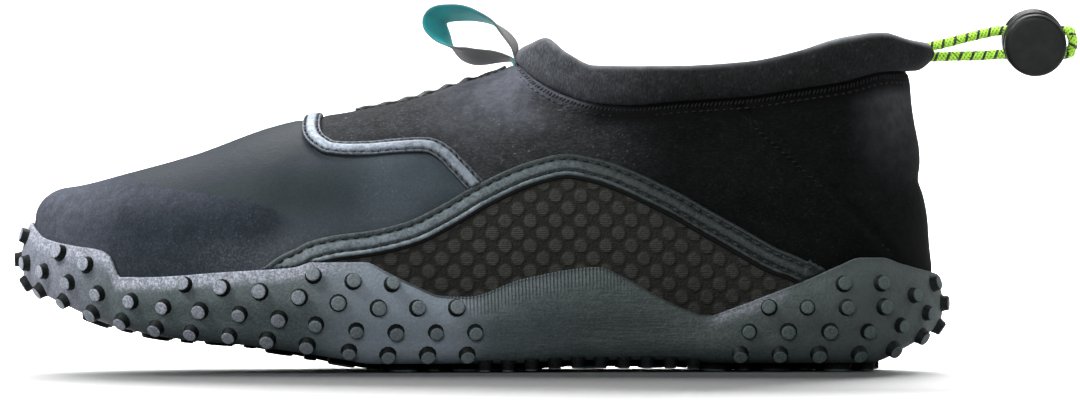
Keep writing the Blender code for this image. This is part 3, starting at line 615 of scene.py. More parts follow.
class Finish:
    """A material on a Principled shader, built up from patterns. Constants sit on the shader itself."""

    def __init__(self, name, roughness, **constants):
        self.material = bpy.data.materials.new(name)
        self.material.use_nodes = True
        self.tree = self.material.node_tree
        self.shader = self.tree.nodes["Principled BSDF"]
        self.shader.inputs["Roughness"].default_value = roughness
        for key, value in constants.items():
            self.shader.inputs[key.replace("_", " ").title().replace("Ior", "IOR")].default_value = value
        self.place = self.node("TexCoord", out="Object")
        self.normal = None

    def node(self, kind, *inputs, out=0, **settings):
        made = self.tree.nodes.new("ShaderNode" + kind)
        for key, value in settings.items():
            setattr(made, key, value)
        for socket, value in zip(made.inputs, inputs):
            self.give(socket, value)
        return made.outputs[out]

    def give(self, socket, value):
        if isinstance(value, bpy.types.NodeSocket):
            self.tree.links.new(value, socket)
        elif value is not None:
            socket.default_value = value

    def field(self, name, out="Vector"):
        return self.node("Attribute", attribute_name=name, out=out)

    def stretched(self, x, y, z):
        return self.node("Mapping", self.place, None, None, (x, y, z))

    def noise(self, size, detail=2.0, rough=0.5, place=None):
        """Cloudy pattern from 0 to 1 whose spots are about size metres across."""
        return self.node("TexNoise", place or self.place, None, 1 / size, detail, rough)

    def cells(self, size, place=None):
        """Cellular pattern, dark in the middle of each cell, whose cells are about size metres across."""
        return self.node("TexVoronoi", place or self.place, None, 1 / size)

    def maths(self, operation, a, b=None, c=None):
        return self.node("Math", a, b, c, operation=operation)

    def spread(self, value, low, high, first=0.0, last=1.0):
        return self.node("MapRange", value, low, high, first, last, interpolation_type="SMOOTHSTEP")

    def fade(self, value, low, high, first=1.0):
        """From first down to nothing as the value goes from low to high."""
        return self.spread(value, low, high, first, 0.0)

    def mix(self, share, a, b):
        made = self.tree.nodes.new("ShaderNodeMix")
        made.data_type = "RGBA"
        self.give(made.inputs[0], share)
        for socket, value in ((made.inputs[6], a), (made.inputs[7], b)):
            self.give(socket, (*value, 1.0) if isinstance(value, tuple) else value)
        return made.outputs[2]

    def blend(self, pattern, low, high, a, b):
        """From a where the pattern is low to b where it is high."""
        return self.mix(self.spread(pattern, low, high), a, b)

    def wave(self, value, period):
        return self.maths("SINE", self.product(value, 2 * math.pi / period))

    def split(self, vector):
        made = self.tree.nodes.new("ShaderNodeSeparateXYZ")
        self.give(made.inputs[0], vector)
        return made.outputs

    def tone(self, colour, value, low, high):
        """Colour made darker or lighter by a pattern, between two factors."""
        made = self.tree.nodes.new("ShaderNodeVectorMath")
        made.operation = "SCALE"
        self.give(made.inputs[0], colour)
        self.give(made.inputs["Scale"], self.spread(value, 0.3, 0.7, low, high))
        return made.outputs[0]

    def product(self, *values):
        result = values[0]
        for value in values[1:]:
            result = self.maths("MULTIPLY", result, value)
        return result

    def facing_up(self, low, high):
        """How far the surface faces upwards, where dust and lint settle."""
        return self.spread(self.split(self.node("NewGeometry", out="Normal"))[2], low, high)

    def bump(self, height, depth):
        """Relief of depth metres, added to what is there."""
        made = self.tree.nodes.new("ShaderNodeBump")
        made.inputs["Distance"].default_value = depth
        self.give(made.inputs["Height"], height)
        if self.normal:
            self.give(made.inputs["Normal"], self.normal)
        self.normal = made.outputs[0]

    def done(self, colour, roughness=None):
        self.give(self.shader.inputs["Base Color"], colour)
        if roughness:
            self.give(self.shader.inputs["Roughness"], roughness)
        if self.normal:
            self.give(self.shader.inputs["Normal"], self.normal)
        return self.material


COOL_LIGHT = (0.75, 0.78, 1.0, 1.0)


def neoprene_finish():
    """Black knit, smooth slate vamp and darker toe patch, kept apart by fields on the mesh.

    Lint specks lie on the knit, dust above the rubber and some on the vamp's upper faces.
    Painted light and shade: the knit is grey at its front and near black behind, paler on the heel's top,
    darker low on the quarter and just below the collar; faces that point upwards on the toe, along the crest
    and around the throat are paler, a painted highlight.
    """
    sheen = {"sheen_weight": 0.01, "sheen_roughness": 0.4, "sheen_tint": COOL_LIGHT}
    f = Finish("neoprene_knit", 0.8, specular_ior_level=0.06, **sheen)
    vamp = f.spread(f.field("vamp", "Fac"), -0.3 * MM, 0.3 * MM)
    toe = f.spread(f.field("toe", "Fac"), -0.5 * MM, 0.5 * MM)
    x, _, z = f.split(f.place)
    clouds = f.noise(22 * MM, 3.0, 0.55)
    spots = f.noise(3.5 * MM, 3.0, 0.65)
    fine = f.noise(0.65 * MM, 2.0, 0.6)
    threads = f.noise(0.6 * MM, 2.0, 0.6, f.stretched(0.5, 0.5, 1.3))
    lint = f.spread(f.noise(0.7 * MM, 0.0), 0.70, 0.78)
    # Painted light: the knit goes from grey at its lit front to near black behind.
    front = f.fade(x, 20 * MM, 58 * MM)
    throat = f.maths("MINIMUM", front, f.spread(x, -24 * MM, 14 * MM, 0.03, 0.85))
    black = f.blend(threads, 0.35, 0.7, (0.0014, 0.0017, 0.0017), (0.0036, 0.0042, 0.0043))
    grey = f.blend(threads, 0.35, 0.7, (0.013, 0.0145, 0.015), (0.027, 0.029, 0.031))
    knit = f.mix(front, black, grey)
    # Painted highlight where the knit faces upwards around the throat.
    knit = f.mix(f.product(throat, f.facing_up(0.36, 0.86)), knit, (0.095, 0.100, 0.120))
    # Painted highlight on the upper part of the heel.
    heel = f.product(f.spread(x, 104 * MM, 122 * MM), f.spread(z, 48 * MM, 84 * MM))
    knit = f.mix(heel, knit, (0.032, 0.0345, 0.036))
    # Painted shade: darker low on the rear quarter.
    shade = f.product(f.spread(x, 40 * MM, 64 * MM), f.fade(z, 28 * MM, 50 * MM, 0.6))
    knit = f.mix(shade, knit, (0.0006, 0.0008, 0.0008))
    specks = f.product(lint, f.maths("MAXIMUM", front, 0.1), f.spread(clouds, 0.35, 0.6, 0.15, 0.4))
    knit = f.mix(specks, knit, (0.11, 0.12, 0.14))
    knit = f.tone(knit, spots, 0.78, 1.22)
    # Painted shade in a band just below the collar's seam.
    seam = f.spread(f.field("seam", "Fac"), 3.0 * MM, 7.5 * MM, 0.92, 0.0)
    knit = f.mix(f.product(seam, f.spread(x, 24 * MM, 36 * MM)), knit, (0.0012, 0.0013, 0.0014))
    # Slate film paler where it faces upwards: painted highlight, with some dust.
    film = f.mix(f.facing_up(0.42, 0.92), (0.0155, 0.0225, 0.0250), (0.020, 0.025, 0.031))
    low = f.product(f.fade(z, 38 * MM, 52 * MM, 0.7), f.spread(x, -84 * MM, -66 * MM))
    film = f.mix(low, film, (0.040, 0.048, 0.058))
    behind = f.product(f.spread(x, -50 * MM, -26 * MM), f.spread(clouds, 0.3, 0.6, 0.5, 1.0))
    film = f.mix(f.product(behind, 0.8), film, (0.041, 0.053, 0.063))
    film = f.tone(film, fine, 0.90, 1.10)
    film = f.mix(f.product(lint, f.spread(clouds, 0.4, 0.7, 0.0, 0.25)), film, (0.12, 0.14, 0.16))
    # Toe patch paler where it faces upwards and at its tip: painted highlight.
    patch = f.mix(f.facing_up(0.25, 0.80), (0.0135, 0.0175, 0.0230), (0.034, 0.039, 0.050))
    patch = f.mix(f.fade(x, -126 * MM, -98 * MM, 0.5), patch, (0.075, 0.081, 0.102))
    patch = f.tone(f.tone(patch, fine, 0.82, 1.2), spots, 0.84, 1.18)
    patch = f.mix(f.product(lint, 0.10), patch, (0.15, 0.17, 0.21))
    powder = f.product(f.fade(z, 33 * MM, 42 * MM), f.fade(x, -10 * MM, 10 * MM))
    powder = f.product(powder, f.spread(x, -88 * MM, -68 * MM, 0.2, 1.0))
    colour = f.mix(vamp, knit, film)
    colour = f.mix(toe, colour, patch)
    colour = f.mix(f.product(powder, f.spread(fine, 0.4, 0.7, 0.06, 0.24)), colour, (0.13, 0.14, 0.165))
    smoothness = f.maths("SUBTRACT", vamp, toe)
    roughness = f.spread(f.maths("ADD", smoothness, f.product(fine, 0.3)), 0.0, 1.3, 0.9, 0.58)
    f.bump(threads, 0.035 * MM)
    f.bump(f.cells(0.55 * MM, f.stretched(1.0, 1.0, 0.7)), 0.05 * MM)
    f.bump(f.noise(7 * MM, 2.0), 0.25 * MM)
    return f.done(colour, roughness)


def band_finish():
    """The same knit, rolled over the collar, with lint specks thickest at its front. Painted light: grey at
    its lit front and near black behind, with a painted highlight where it faces upwards.
    """
    sheen = {"sheen_weight": 0.04, "sheen_roughness": 0.45, "sheen_tint": COOL_LIGHT}
    f = Finish("collar_knit", 0.85, specular_ior_level=0.08, **sheen)
    x = f.split(f.place)[0]
    # Painted light: grey at the lit front, near black behind.
    front = f.fade(x, 4 * MM, 62 * MM)
    spots = f.noise(3.5 * MM, 3.0, 0.65)
    threads = f.noise(0.6 * MM, 2.0, 0.6, f.stretched(1.3, 0.6, 0.5))
    lint = f.spread(f.noise(0.9 * MM, 0.0), 0.70, 0.78)
    black = f.blend(threads, 0.35, 0.7, (0.0060, 0.0066, 0.0066), (0.0125, 0.0136, 0.0138))
    grey = f.blend(threads, 0.35, 0.7, (0.042, 0.045, 0.051), (0.075, 0.080, 0.090))
    knit = f.mix(front, black, grey)
    # Painted highlight along the band's upward faces, strong near its front and strongest behind the heel.
    ankle = f.spread(x, 48 * MM, 86 * MM, 0.62, 0.25)
    top_highlight = f.maths("MAXIMUM", ankle, f.spread(x, 86 * MM, 106 * MM, 0.0, 1.0))
    knit = f.mix(f.product(f.facing_up(0.30, 0.88), top_highlight), knit, (0.165, 0.178, 0.183))
    knit = f.mix(f.product(lint, f.maths("MAXIMUM", front, 0.2), 0.4), knit, (0.12, 0.13, 0.15))
    knit = f.tone(knit, spots, 0.8, 1.2)
    f.bump(threads, 0.05 * MM)
    f.bump(f.cells(0.55 * MM), 0.05 * MM)
    return f.done(knit)


def lining_finish():
    f = Finish("lining_jersey", 0.9, sheen_weight=0.1)
    weave = f.noise(0.8 * MM, 2.0, 0.5, f.stretched(0.5, 0.5, 1.5))
    f.bump(weave, 0.1 * MM)
    f.bump(f.cells(1.4 * MM), 0.08 * MM)
    return f.done(f.blend(weave, 0.35, 0.65, (0.012, 0.0125, 0.014), (0.035, 0.036, 0.040)))


def insole_finish():
    f = Finish("insole_cloth", 0.92)
    weave = f.noise(0.9 * MM, 2.0, 0.5, f.stretched(1.4, 0.5, 1.0))
    wear = f.noise(30 * MM, 2.0)
    colour = f.blend(weave, 0.35, 0.65, (0.020, 0.020, 0.022), (0.05, 0.05, 0.055))
    colour = f.mix(f.spread(wear, 0.45, 0.7, 0.0, 0.4), colour, (0.07, 0.07, 0.07))
    f.bump(weave, 0.12 * MM)
    f.bump(f.cells(2.2 * MM), 0.15 * MM)
    return f.done(colour)


def rubber_finish():
    """Grey-green rubber: dusty toe and rim, pale behind the ball from wash and a painted highlight, ribbed
    under the waist's edge; its front is paler than its back, partly painted light, and painted shade darkens
    its bottom and a line under the mesh.
    """
    f = Finish("sole_rubber", 0.66, specular_ior_level=0.35)
    run, below, along = f.split(f.field("wall"))
    grain = f.noise(0.7 * MM, 3.0, 0.7)
    coarse = f.noise(2.4 * MM, 3.0, 0.65)
    dust = f.noise(16 * MM, 4.0, 0.6)
    brushed = f.noise(1.2 * MM, 2.0, 0.6, f.stretched(0.12, 0.3, 2.4))
    waist = f.product(f.spread(along, 0.47, 0.52), f.fade(along, 0.72, 0.76))
    ribbed = f.product(f.spread(along, 0.455, 0.50), f.fade(along, 0.60, 0.68))
    ribbed = f.product(ribbed, f.fade(below, 0.8 * MM, 8 * MM))
    ribs = f.wave(run, 1.05 * MM)
    ribs = f.product(ribs, ribbed)
    # Front paler and bluer than the back: partly painted light.
    front = f.blend(grain, 0.35, 0.7, (0.037, 0.051, 0.053), (0.064, 0.084, 0.088))
    rear = f.blend(grain, 0.35, 0.7, (0.020, 0.029, 0.028), (0.038, 0.051, 0.051))
    base = f.blend(along, 0.50, 0.68, front, rear)
    # Pale behind the ball: partly wash, partly painted highlight.
    pale_wash_and_highlight = f.product(f.spread(along, 0.30, 0.385), f.fade(along, 0.455, 0.52))
    pale = f.blend(grain, 0.3, 0.7, (0.145, 0.178, 0.208), (0.185, 0.222, 0.258))
    colour = f.mix(pale_wash_and_highlight, base, pale)
    heel = f.product(f.spread(along, 0.76, 0.86), f.spread(dust, 0.35, 0.6, 0.5, 1.0))
    colour = f.mix(f.product(heel, 0.6), colour, (0.045, 0.058, 0.058))
    dusty = f.product(f.spread(dust, 0.45, 0.75, 0.0, 0.3), f.spread(along, 0.60, 0.70, 1.0, 0.35))
    colour = f.mix(dusty, colour, (0.095, 0.115, 0.125))
    colour = f.mix(f.product(waist, f.spread(brushed, 0.45, 0.8, 0.0, 0.35)), colour, (0.080, 0.100, 0.098))
    powder = f.blend(grain, 0.3, 0.75, (0.105, 0.112, 0.145), (0.235, 0.245, 0.300))
    toe = f.product(f.fade(along, 0.03, 0.12, 0.85), f.spread(coarse, 0.3, 0.6, 0.6, 1.0))
    colour = f.mix(toe, colour, powder)
    rim = f.product(f.fade(below, 1.6 * MM, 5.0 * MM), f.fade(along, 0.30, 0.40))
    heel_front = f.product(f.spread(along, 0.74, 0.77), f.fade(along, 0.81, 0.85))
    back = f.product(f.fade(below, 0.8 * MM, 5.0 * MM, 0.4), heel_front)
    chalk = f.blend(grain, 0.35, 0.7, (0.12, 0.13, 0.15), (0.36, 0.38, 0.46))
    chalked = f.product(f.maths("ADD", rim, back), f.spread(coarse, 0.3, 0.55, 0.45, 1.0))
    colour = f.mix(chalked, colour, chalk)
    # Painted shade: a dark line along the top edge, in the gap under the mesh.
    middle = f.product(f.spread(along, 0.36, 0.42), f.spread(along, 0.74, 0.78, 1.0, 0.25))
    edge = f.product(f.fade(below, 0.1 * MM, 1.0 * MM, 0.85), middle)
    colour = f.mix(edge, colour, (0.012, 0.017, 0.017))
    colour = f.mix(f.spread(ribs, 0.2, 0.9, 0.0, 0.35), colour, (0.13, 0.15, 0.16))
    # Painted shade: darker towards the bottom.
    low = f.spread(f.split(f.place)[2], 2 * MM, 10 * MM, 0.15, 0.0)
    colour = f.mix(low, colour, (0.030, 0.040, 0.040))
    f.bump(grain, 0.20 * MM)
    f.bump(coarse, 0.25 * MM)
    f.bump(f.product(brushed, waist), 0.15 * MM)
    f.bump(ribs, 0.16 * MM)
    return f.done(colour, f.spread(coarse, 0.3, 0.7, 0.56, 0.78))


def stud_finish():
    """Rubber of studs and lugs: worn pale on top, with painted shade that turns their walls black; tops paler
    at the front, partly painted light.
    """
    f = Finish("stud_rubber", 0.65, specular_ior_level=0.12)
    rise = f.field("rise", "Fac")
    x = f.split(f.place)[0]
    grain = f.noise(0.6 * MM, 3.0, 0.7)
    dust = f.noise(5 * MM, 2.0)
    # Tops paler at the front than behind: partly painted light.
    front = f.blend(grain, 0.35, 0.7, (0.085, 0.105, 0.112), (0.150, 0.178, 0.190))
    rear = f.blend(grain, 0.35, 0.7, (0.042, 0.056, 0.057), (0.080, 0.100, 0.102))
    top = f.blend(x, 0.0, 70 * MM, front, rear)
    chalk = f.blend(grain, 0.3, 0.7, (0.12, 0.13, 0.155), (0.33, 0.35, 0.41))
    powdered = f.product(f.fade(x, -95 * MM, -30 * MM, 0.95), f.spread(dust, 0.3, 0.5, 0.4, 1.0))
    top = f.mix(powdered, top, chalk)
    # Painted shade: the walls are near black.
    wall = f.blend(grain, 0.35, 0.7, (0.0015, 0.0022, 0.0022), (0.008, 0.011, 0.011))
    colour = f.blend(rise, 1.92 * MM, 2.04 * MM, wall, top)
    f.bump(grain, 0.16 * MM)
    return f.done(colour, f.spread(grain, 0.3, 0.7, 0.5, 0.72))


def trim_finish(name, front, rear, fade, shine, flange):
    """Satin moulded film: paler on its ridges; painted shade darkens it in its stitch grooves and towards the
    heel.
    """
    f = Finish(name, 0.5, specular_ior_level=0.2, coat_weight=shine, coat_roughness=0.4)
    rise = f.field("rise", "Fac")
    grain = f.noise(0.8 * MM, 3.0, 0.65)
    patches = f.noise(6 * MM, 3.0, 0.6)
    share = f.spread(grain, 0.3, 0.7)
    # Painted shade: darker towards the heel.
    back = f.spread(f.split(f.place)[0], *fade)
    colour = f.mix(back, f.mix(share, *front), f.mix(share, *rear))
    pale = f.mix(back, tuple(1.5 * c + 0.01 for c in front[1]), tuple(1.5 * c + 0.004 for c in rear[1]))
    ridge = f.product(f.spread(rise, 1.05 * MM, 1.5 * MM), f.spread(patches, 0.35, 0.65, 0.1, 1.0))
    colour = f.mix(ridge, colour, pale)
    colour = f.mix(f.spread(rise, 1.02 * MM, 1.2 * MM, flange, 0.0), colour, (0.012, 0.017, 0.017))
    # Painted shade in the stitch grooves.
    colour = f.mix(f.fade(rise, 0.55 * MM, 0.9 * MM, 0.75), colour, (0.006, 0.008, 0.009))
    colour = f.tone(colour, f.noise(1.6 * MM, 3.0, 0.65), 0.75, 1.25)
    f.bump(grain, 0.15 * MM)
    f.bump(f.noise(2.5 * MM, 2.0), 0.28 * MM)
    return f.done(colour, f.spread(patches, 0.3, 0.7, 0.42, 0.6))


def mesh_finish():
    """Dark open knit with staggered pale oval dots, each finely ridged."""
    f = Finish("air_mesh_knit", 0.75, sheen_weight=0.03, specular_ior_level=0.2)
    run, up, _ = f.split(f.field("flat"))
    half = MESH_PITCH / 2
    shapes = []
    for shift in (0.0, half):
        a = f.maths("WRAP", f.maths("ADD", run, shift), half, -half)
        b = f.product(f.maths("WRAP", f.maths("ADD", up, shift), half, -half), 0.93)
        shapes.append(f.maths("SQRT", f.maths("ADD", f.product(a, a), f.product(b, b))))
    ragged = f.product(f.noise(1.2 * MM, 2.0), 0.55 * MM)
    away = f.maths("ADD", f.maths("MINIMUM", *shapes), ragged)
    dot = f.fade(away, 1.6 * MM, 2.6 * MM)
    ridges = f.wave(up, 0.62 * MM)
    broken = f.noise(1.6 * MM, 2.0, 0.6, f.stretched(0.5, 0.5, 1.6))
    ridges = f.product(f.spread(ridges, -0.2, 0.9), f.spread(broken, 0.35, 0.6))
    net = f.cells(0.75 * MM)
    base = f.blend(net, 0.1, 0.5, (0.0130, 0.0122, 0.0102), (0.0060, 0.0057, 0.0048))
    pale = f.mix(ridges, (0.022, 0.0215, 0.0190), (0.047, 0.0472, 0.0420))
    colour = f.mix(dot, base, pale)
    colour = f.mix(f.spread(run, 10 * MM, 75 * MM, 0.0, 0.4), colour, (0.004, 0.004, 0.0034))
    f.bump(dot, 0.4 * MM)
    f.bump(f.product(ridges, dot), 0.2 * MM)
    f.bump(net, 0.12 * MM)
    return f.done(colour)


def ribbon_finish(name, dark, light, tint):
    """Woven ribbon: fine cross ribs, a firmer edge and a soft sheen."""
    f = Finish(name, 0.55, sheen_weight=0.3, sheen_roughness=0.4, sheen_tint=(*tint, 1.0))
    run, across, _ = f.split(f.field("flat"))
    ribs = f.wave(run, 0.5 * MM)
    threads = f.wave(across, 0.42 * MM)
    weave = f.product(ribs, threads)
    shade = f.noise(5 * MM, 3.0)
    colour = f.blend(weave, -0.8, 0.8, dark, light)
    colour = f.mix(f.spread(shade, 0.35, 0.7, 0.0, 0.4), colour, tuple(c * 0.45 for c in dark))
    f.bump(weave, 0.08 * MM)
    f.bump(f.noise(3 * MM, 2.0), 0.2 * MM)
    return f.done(colour)


def thread_finish(name, dark, light):
    """Twisted sewing thread."""
    f = Finish(name, 0.7, sheen_weight=0.02, specular_ior_level=0.1)
    strands = f.noise(0.35 * MM, 2.0, 0.6)
    f.bump(strands, 0.08 * MM)
    return f.done(f.blend(strands, 0.35, 0.65, dark, light))


def seam_finish():
    """Overlock along the collar: pale grey at the front, black from the ankle back."""
    f = Finish("overlock_thread", 0.7, sheen_weight=0.02, specular_ior_level=0.1)
    strands = f.noise(0.4 * MM, 2.0, 0.6)
    back = f.spread(f.split(f.place)[0], 8 * MM, 34 * MM)
    pale = f.blend(strands, 0.35, 0.65, (0.04, 0.043, 0.052), (0.13, 0.138, 0.16))
    black = f.blend(strands, 0.35, 0.65, (0.0025, 0.0025, 0.003), (0.010, 0.0105, 0.012))
    f.bump(strands, 0.1 * MM)
    return f.done(f.mix(back, pale, black))


def pucker_finish():
    """Taped and gathered instep seam: black, with dull green painted highlights in patches over its scallops.
    """
    f = Finish("instep_tape", 0.5, specular_ior_level=0.3, coat_weight=0.05, coat_roughness=0.4)
    grain = f.noise(1.0 * MM, 3.0, 0.6)
    patches = f.noise(5 * MM, 2.0)
    colour = f.blend(patches, 0.4, 0.7, (0.007, 0.009, 0.009), (0.040, 0.056, 0.050))
    f.bump(grain, 0.15 * MM)
    return f.done(colour, f.spread(grain, 0.3, 0.7, 0.35, 0.6))


def cord_finish():
    """Neon green braid with a black thread that runs round it in a helix."""
    f = Finish("cord_braid", 0.5, sheen_weight=0.2)
    run, angle, _ = f.split(f.field("flat"))
    turns = f.maths("ADD", f.maths("DIVIDE", run, BRAID_PITCH), angle)
    mark = f.maths("FRACT", turns)
    black = f.product(f.spread(mark, 0.0, 0.06), f.fade(mark, 0.24, 0.30))
    against = f.maths("SUBTRACT", f.maths("DIVIDE", run, BRAID_PITCH), f.product(angle, 2.0))
    other = f.maths("FRACT", against)
    dots = f.product(f.spread(other, 0.0, 0.04), f.fade(other, 0.12, 0.16))
    gate = f.spread(f.noise(1.4 * MM, 1.0), 0.5, 0.56)
    black = f.maths("MAXIMUM", black, f.product(dots, gate))
    braid = []
    for sign in (1.0, -1.0):
        lead = f.maths("ADD", f.maths("DIVIDE", run, 1.1 * MM), f.product(angle, 6.0 * sign))
        braid.append(f.wave(lead, 1.0))
    height = f.maths("MAXIMUM", *braid)
    green = f.blend(height, -0.5, 1.0, (0.16, 0.52, 0.015), (0.50, 0.90, 0.05))
    colour = f.mix(black, green, (0.008, 0.010, 0.006))
    f.bump(height, 0.16 * MM)
    return f.done(colour)


def plastic_finish(name, roughness, tint):
    """Black moulded plastic with a fine spark-eroded grain and paler rubbed places."""
    f = Finish(name, roughness, specular_ior_level=0.2)
    grain = f.noise(0.35 * MM, 2.0, 0.6)
    rubbed = f.noise(5 * MM, 4.0, 0.6)
    colour = f.mix(f.spread(rubbed, 0.45, 0.75, 0.0, 0.6), (0.005, 0.0062, 0.0056), tint)
    f.bump(grain, 0.05 * MM)
    return f.done(colour, f.spread(rubbed, 0.3, 0.7, roughness - 0.06, roughness + 0.12))


def paper_finish():
    """Plain pale studio paper."""
    f = Finish("studio_paper", 0.9)
    fibre = f.noise(3 * MM, 3.0)
    f.bump(fibre, 0.05 * MM)
    return f.done(f.blend(fibre, 0.3, 0.7, (0.92, 0.92, 0.92), (0.95, 0.95, 0.95)))


KNIT = neoprene_finish()
COLLAR_KNIT = band_finish()
LINING = lining_finish()
INSOLE_CLOTH = insole_finish()
RUBBER = rubber_finish()
STUD_RUBBER = stud_finish()
VAMP_FILM = trim_finish(
    "vamp_trim_film",
    ((0.085, 0.103, 0.126), (0.170, 0.198, 0.238)),
    ((0.050, 0.061, 0.072), (0.088, 0.104, 0.122)),
    (-34 * MM, -8 * MM),
    0.04,
    0.35,
)
ARCH_FILM = trim_finish(
    "arch_trim_film",
    ((0.064, 0.084, 0.094), (0.108, 0.134, 0.150)),
    ((0.004, 0.0062, 0.0060), (0.011, 0.0160, 0.0152)),
    (-30 * MM, 58 * MM),
    0.06,
    0.55,
)
AIR_MESH = mesh_finish()
RIBBON_TEAL = ribbon_finish("ribbon_teal", (0.003, 0.20, 0.22), (0.012, 0.46, 0.48), (0.2, 0.9, 0.9))
RIBBON_GREY = ribbon_finish("ribbon_grey", (0.095, 0.095, 0.092), (0.18, 0.18, 0.172), (0.9, 0.9, 1.0))
VAMP_THREAD = thread_finish("vamp_thread", (0.012, 0.014, 0.018), (0.055, 0.062, 0.075))
ARCH_THREAD = thread_finish("arch_thread", (0.004, 0.006, 0.006), (0.022, 0.028, 0.028))
BLACK_THREAD = thread_finish("black_thread", (0.0008, 0.0008, 0.001), (0.0035, 0.0036, 0.0042))
OVERLOCK = seam_finish()
PUCKER = pucker_finish()
BRAID = cord_finish()
BUTTON_PLASTIC = plastic_finish("button_plastic", 0.42, (0.015, 0.018, 0.016))
# The barrel's blue-violet rubbed places are partly wear, partly a painted sheen of grazing light.
BARREL_PLASTIC = plastic_finish("barrel_plastic", 0.34, (0.026, 0.026, 0.044))
PAPER = paper_finish()


# Camera: level with the middle of the shoe, as in the photograph
IMAGE_WIDTH = 0.317
CAMERA_AWAY = 2.2
camera = in_scene("camera", bpy.data.cameras.new("camera"))
camera.data.lens = 36.0 * CAMERA_AWAY / IMAGE_WIDTH
camera.data.clip_end = 20.0
camera.location = (0.0172, -CAMERA_AWAY, 0.0477)
camera.rotation_euler = (math.pi / 2, 0.0, 0.0)
bpy.context.scene.camera = camera


def cord_route(exit_x):
    """Route of the drawcord: out of the beak, through the lock, round and back into the beak."""
    high, low = CORD_SPACING / 2, -CORD_SPACING / 2
    near, far = -LOCK_DIAMETER / 2, LOCK_DIAMETER / 2
    in_lock = (
        (near - 6.0 * MM, high - 1.0 * MM),
        (near, high),
        (0.0, high),
        (far, high),
        (far + 1.5 * MM, high - 1.0 * MM),
        (far + 2.2 * MM, 0.0),
        (far + 1.5 * MM, low + 1.0 * MM),
        (far, low),
        (0.0, low),
        (near, low),
        (near - 6.0 * MM, low - 0.4 * MM),
    )
    sine, cosine = math.sin(LOCK_TILT), math.cos(LOCK_TILT)
    middle = [(LOCK_X + x, -up * sine, LOCK_Z + up * cosine) for x, up in in_lock]
    start = [
        (exit_x - CORD_TUCK, -1.0 * MM, LOCK_Z - 1.5 * MM),
        (exit_x, -1.0 * MM, LOCK_Z - 0.9 * MM),
        (exit_x + 5.0 * MM, -1.0 * MM, LOCK_Z + 0.3 * MM),
    ]
    end = [
        (exit_x + 7.0 * MM, 0.6 * MM, LOCK_Z - 4.0 * MM),
        (exit_x, 1.0 * MM, LOCK_Z - 4.2 * MM),
        (exit_x - CORD_TUCK, 1.1 * MM, LOCK_Z - 4.3 * MM),
    ]
    return start + middle + end


def frames_along(points):
    """Direction, and two square directions that don't twist, at each point of a line."""
    frames = []
    side = None
    for i in range(len(points)):
        ahead = (points[min(i + 1, len(points) - 1)] - points[max(i - 1, 0)]).normalized()
        if side is None:
            side = ahead.cross(Vector((0.0, -1.0, 0.0))).normalized()
        side = (side - ahead * side.dot(ahead)).normalized()
        frames.append((ahead, side, ahead.cross(side)))
    return frames


def add_cord():
    """The braided cord and the route of its middle."""
    exit_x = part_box("collar_band")[1].x + GAP
    route = [Vector(p) + SHIFT for p in curve_through(cord_route(exit_x), 26)]
    fine = [Vector(p) for p in curve_through(route, 151)]
    frames = frames_along(fine)
    sides = CORD_SIDES
    points, flat = [], []
    run = 0.0
    for i, (centre, (_, side, up)) in enumerate(zip(fine, frames)):
        run += (centre - fine[i - 1]).length if i else 0.0
        for k in range(sides + 1):
            angle = 2 * math.pi * k / sides
            swell = CORD_DIAMETER / 2 * (1 + 0.03 * math.sin(6 * angle + run / (0.55 * MM)))
            points.append(centre + (side * math.cos(angle) + up * math.sin(angle)) * swell)
            flat.append((run, k / sides, 0.0))
    faces = lattice(len(fine), sides + 1)
    cap_start, cap_end = len(points), len(points) + 1
    points += [fine[0], fine[-1]]
    flat += [(0.0, 0.0, 0.0), (run, 0.0, 0.0)]
    for k in range(sides):
        faces.append((cap_start, k + 1, k))
        faces.append((cap_end, cap_start - sides - 1 + k, cap_start - sides + k))
    mesh = new_mesh("drawcord_braid", points, faces, [BRAID], {"flat": flat})
    mesh.shade_smooth()
    return show("drawcord_braid", mesh, ("drawcord",), "shoe"), route


def turned(name, profile, material, slot, node, body):
    """A piece turned about the lock's tilted axis, from pairs of place along it and radius."""
    sides = LOCK_SIDES
    placed = Matrix.Translation(Vector((LOCK_X, 0.0, LOCK_Z)) + SHIFT) @ Matrix.Rotation(LOCK_TILT, 4, "X")
    points = []
    for along, radius in profile:
        for c, s in (spoke(k, sides) for k in range(sides)):
            points.append(placed @ Vector((radius * c, along, radius * s)))
    return make(name, points, closed_tube(len(profile), sides), [material], slot, (node,), body, sharp=50)


def rounded(start, end, steps=6):
    """Quarter turn from one corner point to another, as pairs of place and radius."""
    (a, r), (b, s) = start, end
    result = []
    for k in range(steps + 1):
        angle = math.pi / 2 * k / steps
        result.append((a + (b - a) * (1 - math.cos(angle)), r + (s - r) * math.sin(angle)))
    return result


